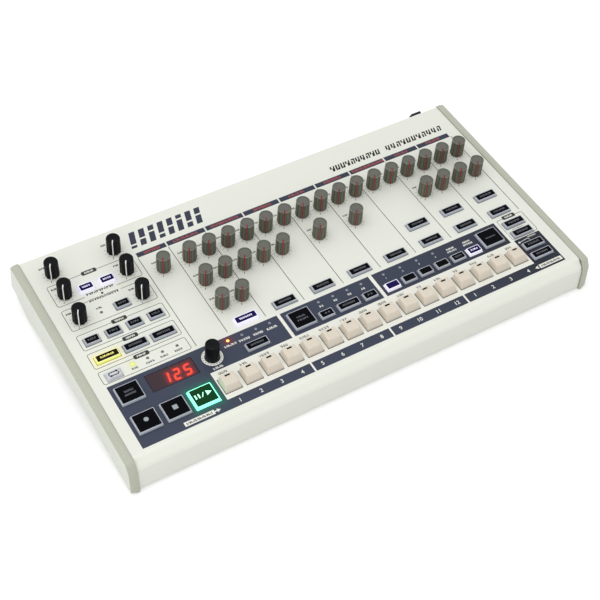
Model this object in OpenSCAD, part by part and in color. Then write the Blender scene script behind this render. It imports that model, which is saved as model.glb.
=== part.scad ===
// Desktop drum machine: folded sheet-metal case between two moulded end cheeks, sixteen step
// keys, rows of rotary knobs, backlit buttons, and audio and control sockets along the rear.
// Units are millimetres. +X is to the player's right, +Y to the rear, +Z up; the origin is on
// the surface the feet stand on, under the middle of the case.

/* [Case] */
// Overall width over both cheeks
body_w = 493; // [490:1:500]
// Overall depth over both cheeks
body_d = 263; // [262:0.5:266]
// Height of the panel plane above the table, at the front
panel_front_z = 36; // [36:0.5:40]
// Slope of the panel, in degrees
slope = 3; // [2.5:0.1:3.5]
// Thickness of the sheet metal
sheet_t = 1.2; // [1:0.1:1.5]
// Thickness of each end cheek
cheek_t = 8.6; // [8:0.1:9]
// Height of the rubber feet
foot_h = 4.4; // [4.4:0.1:5.5]

/* [Knobs] */
// Radius of a knob at its base
knob_r = 6.85; // [6.4:0.05:7]
// Radius of a knob at its top
knob_top_r = 6.7; // [6:0.05:6.8]
// Height of a knob's top above the panel
knob_h = 18.9; // [15:0.1:20]
// Grip flutes around a level knob
flute_count = 12; // [8:1:14]
// Spacing of the knob columns
knob_pitch = 20.62; // [20.3:0.01:20.7]
// Radius of a potentiometer shaft
shaft_r = 3; // [2.8:0.1:3.1]

/* [Step keys] */
// Spacing of the sixteen keys
key_pitch = 20.93; // [20.5:0.01:21]
// Width of a key
key_w = 16.5; // [15.5:0.1:16.8]
// Depth of a key, front to rear
key_d = 17; // [16:0.1:17.5]
// Height of a key above the panel
key_h = 7; // [5:0.5:8]
// Distance a key's front edge draws in towards its top
key_front_in = 4.4; // [3:0.1:5]
// Distance each side of a key draws in towards its top
key_side_in = 1.9; // [1.5:0.1:2.2]
// Travel of a key
key_travel = 1.5; // [0.5:0.1:1.6]

/* [Buttons] */
// Height of a button's top above the panel
button_h = 2.9; // [2.6:0.1:4]
// Width that the translucent skirt adds all round a button's cap
skirt_w = 1.5; // [1.2:0.1:1.6]
// Width of the skirt's top edge around a button's cap
skirt_lip = 0.8; // [0.4:0.1:1]

/* [Rear sockets] */
// Radius of the bore of a 6.35 mm jack
jack_r = 3.25; // [3.2:0.01:3.35]
// Radius of the bore of a 3.5 mm jack
mini_r = 1.8; // [1.77:0.01:1.85]
// Radius of the well of a five-pin socket
din_r = 6.9; // [6.8:0.1:7.2]
// Height of the socket line above the table
socket_z = 27; // [26:0.5:27.5]

/* [Hidden] */
$fn = 48;
eps = 0.02;

// Panel plane: x from the left cheek's outer face, y back from the front line, w up from the sheet
panel_lead = 1.7;      // how far the front line stands before the cheeks' front
panel_d = 255;         // depth of the flat panel and its folded rear edge
bend_y = 11.5;         // where the flat panel folds into the front
fold_start = bend_y + 3; // where the folded front takes over from the flat
lowest_turn = 151;     // half the turn of a knob, from its middle to its lowest setting
rear_y = body_d - 11.3; // outer face of the rear wall, from the cheeks' front

// Level knobs stand in three rows, on a common column spacing
column_x = 153;
row_y = [187, 154.7, 122.5];
middle_columns = [0, 1, 2, 3, 4, 6, 8, 12, 13, 14, 15];
upper_at = [for (i = [0:15]) [column_x + i * knob_pitch, row_y[0]]];
middle_at = [for (i = middle_columns) [column_x + i * knob_pitch, row_y[1]]];
lower_at = [for (i = [0:1]) [column_x + i * knob_pitch, row_y[2]]];
accent_at = [[125.6, row_y[0]]];
master_at = [for (y = [229, 200.4, 167.4], x = [31.5, 94.2]) [x, y]];
encoder_at = [[116.8, 73.8]];
level_at = concat(upper_at, middle_at, lower_at, accent_at);
knob_at = concat(level_at, master_at, encoder_at);

// Keys in a row, in four groups of four
key_x = 116.5;
key_y = 40.6;
key_at = [for (i = [0:15]) [key_x + i * key_pitch, key_y]];

// Caps of the three kinds of button, and where each button stands: [x, y, kind]
SMALL = 0;
WIDE = 1;
BIG = 2;
cap_size = [[12, 6.4], [20.3, 6.4], [20.2, 18]];
voice_x = 164.3;
voice_pitch = 41.08;
voice_y = [98.2, 122];
voice_buttons_at = concat(
    [for (k = [0:7]) [voice_x + k * voice_pitch, voice_y[0], WIDE]],
    [for (k = [5:7]) [voice_x + k * voice_pitch, voice_y[1], WIDE]]);
left_buttons_at = concat(
    [for (x = [52.2, 73.3]) [x, 199.5, SMALL]],
    [[73, 166.5, SMALL]],
    [for (x = [31.2, 52.3, 73.4, 94.5]) [x, 141, SMALL]],
    [for (x = [35.4, 63, 90.6]) [x, 118, WIDE]],
    [[31.8, 97, SMALL]]);
function_y = 67.2;
function_buttons_at = concat(
    [[159, function_y, WIDE], [209, 73.3, BIG], [232.2, function_y, SMALL],
     [256, function_y, WIDE], [279.6, function_y, SMALL]],
    [for (i = [0:5]) [304.7 + i * 18.85, function_y, SMALL]],
    [[422.3, 73.3, BIG]],
    [for (y = [79, 65.2, 47.2, 33.5]) [455.6, y, WIDE]]);
transport_buttons_at = [[35.2, 72.7, BIG], [35.2, 39.3, BIG], [62.6, 39.3, BIG], [90, 39.3, BIG]];
all_buttons_at = concat(voice_buttons_at, left_buttons_at, function_buttons_at, transport_buttons_at);

led_at = concat(
    [for (x = [137.5, 152, 166.4, 180.8, 232.8, 248.4, 264, 279.6, 304.7, 323.6, 342.4, 361.3])
        [x, 83.3]],
    [for (x = [51.4, 66, 80.6, 95.2]) [x, 100.2]],
    [[52.3, 166.8]]);
led_r = 1.4;
display_w = 46.4;
display_d = 19.8;
display_at = [76.9, 73.6];

// Heights below the panel plane
board_w = -11;         // top of the main circuit board
board_t = 1.6;
board_end_y = 238;
pot_top_w = -4.2;
bush_top_w = 1.5;
fit_gap = 0.05;        // radial running clearance of shaft and pivot
cap_gap = 0.8;         // from the panel to a knob's lower rim
opening_gap = 0.35;    // around a key or button in its opening
button_travel = 0.5;
switch_h = 2.1;
plunger_gap = 0.4;     // left over a switch at the end of the travel
socket_drop = 7.5;     // from the socket line down to the socket boards

// Rear sockets: x places from the left cheek's outer face
jack_xs = [for (k = [0:11]) 238 - k * 19.5];
mini_xs = [for (k = [0:3]) 296 - k * 12];
din_xs = [for (k = [0:2]) 364 - k * 24];
usb_x = 392;
switch_x = 414;
inlet_x = 436;
hook_x = 459.5;
rocker_r = 7.4;
rocker_w = 9.4;
rocker_tilt = 8;       // either side of level
rocker_depth = 3;      // pivot's depth inside the rear wall
pivot_r = 1.2;

foot_at = [for (x = [38, body_w - 38], y = [24, 212]) [x, y]];
foot_web_z = foot_h - 1.6; // floor of the screw's recess in a foot

// Carries panel coordinates into the case frame
module on_panel() {
    translate([-body_w / 2, -panel_lead - body_d / 2, panel_front_z])
        rotate([slope, 0, 0])
            children();
}

// Carries coordinates from the left, front and table into the case frame
module on_table() {
    translate([-body_w / 2, -body_d / 2, 0]) children();
}

// A place on the rear wall's outer face, with local +Z pointing out of the case, +Y up
module on_rear(x, z = socket_z) {
    translate([x, rear_y, z]) rotate([-90, 0, 0]) rotate([0, 0, 180]) children();
}

// Points of an outline whose corners [x, y, r] are rounded to r
function unit(v) = v / norm(v);
function corner_points(a, b, c, steps) =
    let (p = [b[0], b[1]],
         u = unit([a[0], a[1]] - p),
         v = unit([c[0], c[1]] - p),
         half = acos(u * v) / 2,
         centre = p + unit(u + v) * b[2] / sin(half),
         start = p + u * b[2] / tan(half) - centre,
         end = p + v * b[2] / tan(half) - centre,
         turn = sign(start[0] * end[1] - start[1] * end[0]) * (180 - 2 * half),
         from = atan2(start[1], start[0]))
    b[2] == 0 ? [p] :
    [for (i = [0:steps]) centre + b[2] * [cos(from + turn * i / steps), sin(from + turn * i / steps)]];
function rounded(pts, steps = 5) =
    [for (i = [0:len(pts) - 1])
        each corner_points(pts[(i + len(pts) - 1) % len(pts)], pts[i], pts[(i + 1) % len(pts)], steps)];
function rounded_rect(w, d, r) =
    rounded([[-w / 2, -d / 2, r], [w / 2, -d / 2, r], [w / 2, d / 2, r], [-w / 2, d / 2, r]], 3);

// A side-view outline in Y and Z, drawn along X from x0 for a length
module along_x(x0, length) {
    translate([x0, 0, 0]) rotate([90, 0, 90]) linear_extrude(length) children();
}

// Block that tapers in width and depth; the top's front and rear edges draw in by their own amounts
module tapered(w0, d0, w1, front_in, rear_in, h, r) {
    intersection() {
        translate([0, d0 / 2, 0]) rotate([90, 0, 0])
            linear_extrude(d0)
                polygon([[-w0 / 2, 0], [w0 / 2, 0], [w1 / 2, h], [-w1 / 2, h]]);
        along_x(-w0 / 2, w0)
            polygon([[-d0 / 2, 0], [d0 / 2, 0], [d0 / 2 - rear_in, h], [-d0 / 2 + front_in, h]]);
        linear_extrude(h) polygon(rounded_rect(w0, d0, r));
    }
}

// ---- Case ----

// Every opening in the flat of the panel
module panel_openings() {
    for (p = knob_at) translate(p) circle(shaft_r + 1);
    for (p = key_at)
        translate(p) square([key_w + 2 * opening_gap, key_d + 2 * opening_gap], center = true);
    for (b = all_buttons_at)
        translate([b[0], b[1]])
            square([for (s = cap_size[b[2]]) s + 2 * skirt_w + 2 * opening_gap], center = true);
    for (p = led_at) translate(p) circle(led_r + 0.1);
    translate(display_at) square([display_w, display_d], center = true);
}

// The corner that lies t to the left of corner b on the way from a over b to c
function left_of(a, b) = let (d = unit(b - a)) [-d[1], d[0]];
function beside(a, b, c, t) =
    let (m = left_of(a, b), n = left_of(b, c)) b + t * (m + n) / (1 + m * n);

// Side view of the fold at the front: the flat, three soft bends, the front wall and a level
// return flange, each corner of the sheet with its bend radius
module front_fold() {
    t = sheet_t;
    low = [1.7, -34.1];
    flange_d = 12;
    corner = [[fold_start, 0], [bend_y, 0], [5, -6.7], [3.3, -11.8], low, low + flange_d * [1, -tan(slope)]];
    bend_r = [0, 5, 6, 1.4, 1.4, 0];
    polygon(rounded(concat(
        [for (i = [0:5]) [corner[i][0], corner[i][1], bend_r[i]]],
        [[corner[5][0], corner[5][1] + t, 0]],
        [for (i = [4:-1:1])
            let (p = beside(corner[i - 1], corner[i], corner[i + 1], t)) [p[0], p[1], max(bend_r[i] - t, 0.2)]],
        [[fold_start, -t, 0]]), 4));
}

module top_panel() color("#E7EADF") on_panel() {
    inner_w = body_w - 2 * cheek_t;
    translate([0, 0, -sheet_t]) linear_extrude(sheet_t) difference() {
        translate([cheek_t, fold_start - 0.1]) square([inner_w, panel_d - fold_start + 0.1]);
        panel_openings();
    }
    along_x(cheek_t, inner_w) front_fold();
    along_x(cheek_t, inner_w) translate([panel_d - sheet_t, -8]) square([sheet_t, 8 - eps]);
    // pressed-in studs carry the main board
    for (x = [30, 175, 318, 462], y = [112, 214])
        translate([x - 12, y, board_w]) cylinder(r = 2.4, h = -board_w - sheet_t + 0.3);
}

// Side view of the pan's inside space
pan_z = foot_h;
function pan_profile(inset) = [
    [9 + inset, pan_z + inset], [226 + inset * 0.2, pan_z + inset], [rear_y - inset, 13.5 + inset * 0.5],
    [rear_y - inset, panel_front_z + (rear_y + panel_lead) * sin(slope) - 2.2],
    [9 + inset, panel_front_z + 9 * sin(slope) - 4.5]];

module bottom_pan() color("#3B3D40") on_table() {
    inner_w = body_w - 2 * cheek_t;
    difference() {
        along_x(cheek_t, inner_w) polygon(pan_profile(0));
        along_x(cheek_t + sheet_t, inner_w - 2 * sheet_t)
            polygon([pan_profile(sheet_t)[0] - [sheet_t + 1, 0], pan_profile(sheet_t)[1],
                     pan_profile(sheet_t)[2], pan_profile(sheet_t)[3] + [0, 4],
                     pan_profile(sheet_t)[4] + [-sheet_t - 1, 6]]);
        for (x = jack_xs) on_rear(x) cylinder(r = 5.9, h = 5, center = true);
        for (x = mini_xs) on_rear(x) cylinder(r = 3.2, h = 5, center = true);
        for (x = din_xs) on_rear(x) cylinder(r = 9, h = 5, center = true);
        on_rear(usb_x) cube([12.2, 11.2, 5], center = true);
        on_rear(inlet_x) cube([9.4, 11.4, 5], center = true);
        on_rear(switch_x) cube([13.4, 19.4, 5], center = true);
        for (x = [cheek_t, body_w - cheek_t], p = cheek_screw_at)
            translate([x, p[0], p[1]]) rotate([0, 90, 0]) cylinder(r = 1.7, h = 4, center = true);
        for (p = foot_at) translate([p[0], p[1], pan_z]) cylinder(r = 1.3, h = 4, center = true);
    }
}

// Outline of a cheek seen from the side: [y, z, corner radius]
cheek_outline = [
    [0, 1.5, 1.2], [0.9, 28, 6], [5.6, 37.1, 4], [254.3, 50.6, 2.5], [body_d, 16.2, 1.5],
    [254, 15, 3], [237, 8, 5], [231, 3.4, 2], [222, 3.4, 4], [150, 11.6, 60], [98, 11.6, 60],
    [58, 7, 60], [6, 1.5, 2]];
cheek_screw_at = [[30, 22], [128, 26], [225, 30]];
cheek_wall = 2.2;

function shrunk(pts, by) =
    [for (i = [0:len(pts) - 1])
        let (n = len(pts),
             u = unit(pts[i] - pts[(i + n - 1) % n]),
             v = unit(pts[(i + 1) % n] - pts[i]),
             inward = unit([u[1] + v[1], -u[0] - v[0]]))
        pts[i] + inward * by / max(0.5, cos(acos(min(1, u * v)) / 2))];

// A left cheek with its outer face at x = 0 and its open, ribbed side at x = cheek_t
module cheek() {
    outline = rounded(cheek_outline);
    inside = [for (p = cheek_outline) [p[0], p[1]]];
    difference() {
        along_x(0, cheek_t) polygon(outline);
        along_x(cheek_wall, cheek_t) polygon(shrunk(inside, cheek_wall));
    }
    for (y = [18, 50, 80, 105, 152, 178, 205, 240])
        intersection() {
            along_x(cheek_wall - eps, cheek_t - cheek_wall - 0.6) polygon(outline);
            translate([0, y, 0]) cube([cheek_t, 1.4, 60]);
        }
    // toe under the front of the open side
    along_x(5, 3) polygon([[0.3, 0.4], [3.2, 0.4], [4.6, 3], [0.3, 3]]);
    for (p = cheek_screw_at)
        translate([cheek_wall - eps, p[0], p[1]]) rotate([0, 90, 0])
            difference() {
                cylinder(r = 3.4, h = cheek_t - cheek_wall + eps);
                translate([0, 0, 1]) cylinder(r = 1.2, h = cheek_t);
            }
}

module left_cheek() color("#C9CDBF") on_table() cheek();

module right_cheek() color("#C9CDBF") on_table()
    translate([body_w, 0, 0]) mirror([1, 0, 0]) cheek();

// ---- Inside ----

module circuit_boards() color("#2F5D3A") {
    on_panel() {
        // main board, with a tact switch under every key and button
        translate([16, 22, board_w - board_t]) cube([body_w - 32, board_end_y - 22, board_t]);
        for (p = concat(key_at, all_buttons_at))
            translate([p[0] - 3, p[1] - 3, board_w - eps]) cube([6, 6, switch_h]);
        // three-digit display block
        translate([display_at[0] - 19, display_at[1] - 7, board_w - eps]) cube([38, 14, 8]);
    }
    on_table() {
        // socket boards under the rear sockets, clear of the power switch, on pillars from the pan
        for (span = [[16, 404], [424, 476]])
            translate([span[0], 222, socket_z - socket_drop - board_t])
                cube([span[1] - span[0], 24, board_t]);
        for (x = [24, 170, 318, 398, 430, 470])
            translate([x, 225, pan_z + sheet_t])
                cylinder(r = 2.5, h = socket_z - socket_drop - board_t - pan_z - sheet_t + eps);
    }
}

module potentiometers() color("#7A7F86") on_panel()
    for (p = knob_at) translate([p[0], p[1], 0]) difference() {
        union() {
            translate([-4.8, -5.5, board_w]) cube([9.6, 11, pot_top_w - board_w]);
            translate([0, 0, pot_top_w - eps]) cylinder(r = shaft_r + 0.6, h = bush_top_w - pot_top_w + eps);
        }
        translate([0, 0, board_w + 0.5]) cylinder(r = shaft_r + fit_gap, h = 20);
    }

module display_window() color("#3A0E10") on_panel()
    translate([display_at[0], display_at[1], 0]) {
        translate([0, 0, -sheet_t - 1])
            linear_extrude(1) square([display_w + 4, display_d + 4], center = true);
        translate([0, 0, -sheet_t - eps])
            linear_extrude(sheet_t) square([display_w - 0.2, display_d - 0.2], center = true);
    }

module leds() color("#D8DCE4") on_panel()
    for (p = led_at) translate([p[0], p[1], board_w]) {
        cylinder(r = led_r, h = -board_w);
        translate([0, 0, -board_w - 0.9]) intersection() {
            sphere(r = led_r);
            cylinder(r = led_r, h = 2);
        }
    }

// ---- Rear ----

// 6.35 mm jack: body behind the wall, threaded bush and ring nut outside it
module big_jack() difference() {
    union() {
        translate([-7.7, -socket_drop, -28 - sheet_t]) cube([15.4, 15, 28]);
        translate([0, 0, -sheet_t - eps]) cylinder(r = 5.6, h = sheet_t + 4.2);
        cylinder(r = 7.4, h = 2, $fn = 6);
    }
    translate([0, 0, -20]) cylinder(r = jack_r, h = 30);
}

// 3.5 mm jack
module small_jack() difference() {
    union() {
        translate([-4.5, -socket_drop, -13 - sheet_t]) cube([9, socket_drop + 5, 13]);
        translate([0, 0, -sheet_t - eps]) cylinder(r = 3, h = sheet_t + 2.6);
        cylinder(r = 4.2, h = 1.4);
    }
    translate([0, 0, -12]) cylinder(r = mini_r, h = 20);
}

module audio_jacks() color("#1E1F21") on_table() {
    for (x = jack_xs) on_rear(x) big_jack();
    for (x = mini_xs) on_rear(x) small_jack();
}

// Five-pin socket: square housing, round well
module midi_sockets() color("#1E1F21") on_table()
    for (x = din_xs) on_rear(x) difference() {
        union() {
            translate([-10, -socket_drop, -14 - sheet_t]) cube([20, socket_drop + 8.6, 14]);
            translate([0, 0, -sheet_t - eps]) cylinder(r = 8.7, h = sheet_t + 0.6);
        }
        translate([0, 0, -8]) cylinder(r = din_r, h = 12);
    }

module power_usb_sockets() color("#8D9196") on_table() {
    // square data socket with its tongue
    on_rear(usb_x) difference() {
        union() {
            translate([-6, -5.5, -16]) cube([12, 11, 16.4]);
            translate([-6, -socket_drop, -16]) cube([12, 4, 16 - sheet_t]);
        }
        translate([-4.3, -4, -12]) cube([8.6, 8, 20]);
    }
    on_rear(usb_x) translate([-2.8, -1.6, -12.5]) cube([5.6, 3.2, 7.5]);
    // low-voltage power inlet with its centre pin
    on_rear(inlet_x) difference() {
        union() {
            translate([-4.6, -5.6, -14]) cube([9.2, 11.2, 14.4]);
            translate([-4.6, -socket_drop, -14]) cube([9.2, 4, 14 - sheet_t]);
        }
        translate([0, 0, -11]) cylinder(r = 3.1, h = 20);
    }
    on_rear(inlet_x) translate([0, 0, -11.5]) cylinder(r = 1, h = 6.5);
    // frame of the power switch
    on_rear(switch_x) difference() {
        union() {
            translate([-6.6, -9.6, -13]) cube([13.2, 19.2, 13 + eps]);
            translate([-7.6, -10.6, 0]) cube([15.2, 21.2, 1.2]);
        }
        translate([-rocker_w / 2 - 0.3, -rocker_r - 0.35, -12])
            cube([rocker_w + 0.6, 2 * rocker_r + 0.7, 20]);
        translate([0, 0, -rocker_depth]) rotate([0, 90, 0])
            cylinder(r = pivot_r + fit_gap, h = 12.6, center = true);
    }
}

// Rocker of the power switch, held at its off side
module power_switch() color("#161718") on_table()
    on_rear(switch_x) translate([0, 0, -rocker_depth]) rotate([rocker_tilt, 0, 0]) {
        intersection() {
            rotate([0, 90, 0]) cylinder(r = rocker_r, h = rocker_w, center = true);
            along_x(-rocker_w / 2, rocker_w)
                polygon([[-8, 5.6], [0, 4.2], [8, 5.6], [8, -1], [3, -4.5], [-3, -4.5], [-8, -1]]);
        }
        rotate([0, 90, 0]) cylinder(r = pivot_r, h = 12, center = true);
    }

// Hook that keeps the power lead from being pulled out: a bent plate, cut back at its inner corner
module cable_hook() color("#202123") on_table()
    translate([hook_x, rear_y, 0]) intersection() {
        along_x(-9.5, 19)
            polygon(rounded([[0, 22, 0.6], [0, 38, 0.6], [2.2, 38, 0.6], [2.2, 31.6, 0.8],
                             [4.6, 31.6, 0.8], [5.4, 46.4, 0.6], [8.2, 46.4, 0.8], [8.8, 28, 2],
                             [2.2, 26.5, 0.5], [2.2, 22, 0.6]], 3));
        linear_extrude(60) polygon([[-8.5, -1], [7.8, -1], [7.8, 9], [-0.8, 9], [-8.5, 4.6]]);
    }

module feet() color("#17181A") on_table()
    for (p = foot_at) translate([p[0], p[1], 0]) difference() {
        cylinder(r1 = 7.6, r2 = 8.4, h = foot_h);
        translate([0, 0, -1]) cylinder(r = 2.9, h = 1 + foot_web_z);
        cylinder(r = 1.3, h = foot_h + 1);
    }

// Countersunk-look screw along local -Z, head under z = 0
module screw(head_r, shank_r, length) {
    difference() {
        cylinder(r1 = head_r, r2 = head_r * 0.8, h = 1.2);
        for (a = [0, 90]) rotate([0, 0, a]) translate([-head_r * 0.6, -0.35, 0.6])
            cube([head_r * 1.2, 0.7, 2]);
    }
    translate([0, 0, -length]) cylinder(r = shank_r, h = length + eps);
}

module screws() color("#A9ADB2") on_table() {
    for (side = [0, 1], p = cheek_screw_at)
        translate([side == 0 ? cheek_t + sheet_t : body_w - cheek_t - sheet_t, p[0], p[1]])
            rotate([0, side == 0 ? 90 : -90, 0]) screw(2.9, 1.15, 5);
    for (p = foot_at) translate([p[0], p[1], foot_web_z]) rotate([180, 0, 0]) screw(2.6, 1.2, 5);
}

// ---- Controls ----

// Points the pointer of a knob to its lowest setting, at seven o'clock
module at_lowest(p) {
    translate([p[0], p[1], 0]) rotate([0, 0, lowest_turn]) children();
}

// Recess under a cap, and the shaft that runs down into the potentiometer
module knob_shaft() {
    translate([0, 0, board_w + 0.8]) cylinder(r = shaft_r, h = -board_w + 3);
}
module cap_recess() {
    translate([0, 0, cap_gap - 1]) cylinder(r = shaft_r + 1.6, h = 1 + bush_top_w);
}

// Pointer line from the middle of a cap, over its edge of radius edge_r and down the side,
// along local +Y
module pointer(edge_r) {
    pointer_w = 1.2;
    proud = 0.2;
    foot_w = cap_gap + 0.3;
    edge = [knob_top_r - edge_r, knob_h - edge_r];
    along_x(-pointer_w / 2, pointer_w)
        polygon(concat(
            [[0.8, knob_h - 0.6], [0.8, knob_h + proud]],
            [for (a = [90:-15:0]) edge + (edge_r + proud) * [cos(a), sin(a)]],
            [[knob_r + proud, foot_w], [knob_r - 0.6, foot_w], edge - [0.6, 0.6]]));
}

// Grip flutes that follow the cone of a cap, with a ridge under the pointer
cone = atan((knob_r - knob_top_r) / (knob_h - cap_gap));
module flutes(count, r, depth, top_w) {
    for (k = [0:count - 1]) rotate([0, 0, (k + 0.5) * 360 / count])
        translate([0, knob_r + r - depth, cap_gap]) rotate([cone, 0, 0])
            translate([0, 0, -1]) cylinder(r = r, h = 1 + top_w - cap_gap, $fn = 16);
}

// Level knob: tapered cap with scalloped grip and a shallow sunk disc in its top
module level_knob(p) color("#8C8C7E") on_panel() at_lowest(p) {
    difference() {
        translate([0, 0, cap_gap]) cylinder(r1 = knob_r, r2 = knob_top_r, h = knob_h - cap_gap);
        flutes(flute_count, 1.05, 0.5, knob_h - 1.2);
        translate([0, 0, knob_h - 0.25]) cylinder(r = knob_top_r - 0.9, h = 1);
        cap_recess();
    }
    pointer(0.4);
    knob_shaft();
}

// Master knob: broadly fluted cap with a rounded top edge
module master_knob(p) color("#1B1C1E") on_panel() at_lowest(p) {
    round_r = 1.6;
    difference() {
        rotate_extrude()
            polygon(concat([[0, cap_gap], [knob_r, cap_gap]],
                [for (a = [0:15:90])
                    [knob_top_r - round_r + round_r * cos(a), knob_h - round_r + round_r * sin(a)]],
                [[0, knob_h]]));
        flutes(10, 1.5, 0.6, knob_h - 2.2);
        cap_recess();
    }
    pointer(round_r);
    knob_shaft();
}

// Data encoder: plain cap with a dished top
module tempo_encoder(p) color("#1B1C1E") on_panel() at_lowest(p) {
    dish_r = 16;
    difference() {
        rotate_extrude()
            polygon([[0, cap_gap], [knob_r - 0.2, cap_gap], [knob_r - 0.3, knob_h - 0.8],
                     [knob_r - 1.1, knob_h], [0, knob_h]]);
        translate([0, 0, knob_h + dish_r - 1]) sphere(r = dish_r, $fn = 96);
        cap_recess();
    }
    knob_shaft();
}

// Key cap: hollow tapered shell, retaining rim under the panel and a plunger over its switch
module step_key(p) translate([p[0], p[1], 0]) {
    skin = 1.4;
    rear_in = 1;
    hollow_w = -4;
    plunger_w = board_w + switch_h + key_travel + plunger_gap;
    difference() {
        union() {
            translate([0, 0, -2.2]) linear_extrude(2.2 + eps) polygon(rounded_rect(key_w, key_d, 1));
            tapered(key_w, key_d, key_w - 2 * key_side_in, key_front_in, rear_in, key_h, 1);
            translate([0, 0, -3.4]) linear_extrude(1.8) polygon(rounded_rect(key_w + 1.8, key_d + 1.8, 1));
        }
        // the hollow draws in a little less than the outside, which leaves an even wall
        translate([0, 0, hollow_w])
            tapered(key_w - 2 * skin, key_d - 2 * skin, key_w - 2 * skin - 1.7 * key_side_in,
                    0.78 * key_front_in, 0.8 * rear_in, key_h - hollow_w - skin, 0.6);
        translate([-2.45, 4.3, key_h - 0.5]) cube([4.9, 1.6, 1]);
    }
    translate([0, 0, plunger_w]) cylinder(r = 2, h = key_h - skin + 0.2 - plunger_w);
}

module key_group(first) color("#E0D6C6") on_panel()
    for (i = [first:first + 3]) step_key(key_at[i]);

// Backlit button: translucent skirt with a black cap let into its top
module backlit_button(b) translate([b[0], b[1], 0]) {
    size = cap_size[b[2]];
    w0 = size[0] + 2 * skirt_w;
    d0 = size[1] + 2 * skirt_w;
    slant = skirt_w - skirt_lip;
    cap_t = 0.8;
    plunger_w = board_w + switch_h + button_travel + plunger_gap;
    difference() {
        union() {
            translate([0, 0, -2]) linear_extrude(2 + eps) polygon(rounded_rect(w0, d0, 0.8));
            tapered(w0, d0, size[0] + 2 * skirt_lip, slant, slant, button_h - 0.3, 0.8);
            translate([0, 0, -3.2]) linear_extrude(1.6) polygon(rounded_rect(w0 + 1.2, d0 + 1.2, 0.8));
        }
        translate([-size[0] / 2 + 1, -size[1] / 2 + 1, -4]) cube([size[0] - 2, size[1] - 2, 4]);
    }
    translate([0, 0, plunger_w]) cylinder(r = 1.6, h = eps - plunger_w);
    translate([0, 0, button_h - cap_t]) linear_extrude(cap_t) polygon(rounded_rect(size[0], size[1], 0.5));
}

module transport_buttons() color("#2A2C30") on_panel() for (b = transport_buttons_at) backlit_button(b);
module voice_buttons() color("#2A2C30") on_panel() for (b = voice_buttons_at) backlit_button(b);
module left_buttons() color("#2A2C30") on_panel() for (b = left_buttons_at) backlit_button(b);
module function_buttons() color("#2A2C30") on_panel() for (b = function_buttons_at) backlit_button(b);

// Names of the knobs, in the order of their places
function numbered(stem, places) = [for (i = [0:len(places) - 1]) [str(stem, i + 1), places[i]]];
LEVEL_KNOBS = concat(numbered("upper_knob_", upper_at), numbered("middle_knob_", middle_at),
                     numbered("lower_knob_", lower_at), [["accent_knob", accent_at[0]]]);
MASTER_KNOBS = numbered("master_knob_", master_at);

top_panel();
bottom_pan();
left_cheek();
right_cheek();
circuit_boards();
potentiometers();
display_window();
leds();
audio_jacks();
midi_sockets();
power_usb_sockets();
cable_hook();
feet();
screws();
power_switch();
tempo_encoder(encoder_at[0]);
key_group(0);  // step_keys_1_4
key_group(4);  // step_keys_5_8
key_group(8);  // step_keys_9_12
key_group(12);  // step_keys_13_16
transport_buttons();
voice_buttons();
left_buttons();
function_buttons();
for (k = LEVEL_KNOBS) level_knob(k[1]);
for (k = MASTER_KNOBS) master_knob(k[1]);
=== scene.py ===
import math

import bmesh
import bpy
import numpy as np
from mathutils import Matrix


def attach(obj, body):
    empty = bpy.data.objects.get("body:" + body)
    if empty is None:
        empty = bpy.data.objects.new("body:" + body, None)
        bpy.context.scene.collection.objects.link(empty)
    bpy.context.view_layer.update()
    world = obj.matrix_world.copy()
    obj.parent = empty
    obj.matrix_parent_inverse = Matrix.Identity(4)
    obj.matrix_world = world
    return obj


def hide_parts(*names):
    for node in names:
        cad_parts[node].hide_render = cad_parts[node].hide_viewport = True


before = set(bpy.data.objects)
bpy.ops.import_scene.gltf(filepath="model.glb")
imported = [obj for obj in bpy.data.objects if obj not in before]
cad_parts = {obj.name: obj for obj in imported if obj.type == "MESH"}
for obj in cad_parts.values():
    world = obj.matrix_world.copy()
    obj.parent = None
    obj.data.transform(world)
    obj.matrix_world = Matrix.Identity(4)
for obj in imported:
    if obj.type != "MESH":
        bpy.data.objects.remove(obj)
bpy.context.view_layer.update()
print("frame loaded:", len(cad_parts), "nodes")

scene = bpy.context.scene
scene.view_settings.view_transform = "Standard"

# Case and panel, in millimetres. Panel places are x from the left cheek's outer face,
# y back from the front line and w up from the sheet.
case = {
    "width": 493.0, "depth": 263.0, "panelFront": 36.0, "slopeDeg": 3.0, "panelLead": 1.7,
    "cheekWidth": 8.6, "sheet": 1.2, "openingGap": 0.35,
}
columnX, columnPitch = 153.0, 20.62
knobRows = {
    # y and the columns that hold a knob
    "upper": (187.0, range(16)), "middle": (154.7, [0, 1, 2, 3, 4, 6, 8, 12, 13, 14, 15]),
    "lower": (122.5, range(2)),
}
levelPlaces = {f"{row}_knob_{n + 1}": (columnX + i * columnPitch, y)
               for row, (y, columns) in knobRows.items() for n, i in enumerate(columns)}
levelPlaces["accent_knob"] = (125.6, knobRows["upper"][0])
masterPlaces = {f"master_knob_{n + 1}": place for n, place in
                enumerate([(x, y) for y in (229.0, 200.4, 167.4) for x in (31.5, 94.2)])}
encoderPlace = (116.8, 73.8)
keyPlaces = [(116.5 + i * 20.93, 40.6) for i in range(16)]


def panelPoint(points):
    # panel millimetres turned by the slope about the front line, then moved into the case frame
    p = np.asarray(points, float)
    tilt = math.radians(case["slopeDeg"])
    y = p[..., 1] * math.cos(tilt) - p[..., 2] * math.sin(tilt) - case["panelLead"] - case["depth"] / 2
    z = p[..., 1] * math.sin(tilt) + p[..., 2] * math.cos(tilt) + case["panelFront"]
    return np.stack([p[..., 0] - case["width"] / 2, y, z], -1) / 1000


def tablePoint(points):
    # millimetres from the left face, the cheeks' front and the table, moved into the case frame
    return (np.asarray(points, float) - [case["width"] / 2, case["depth"] / 2, 0]) / 1000


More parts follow.
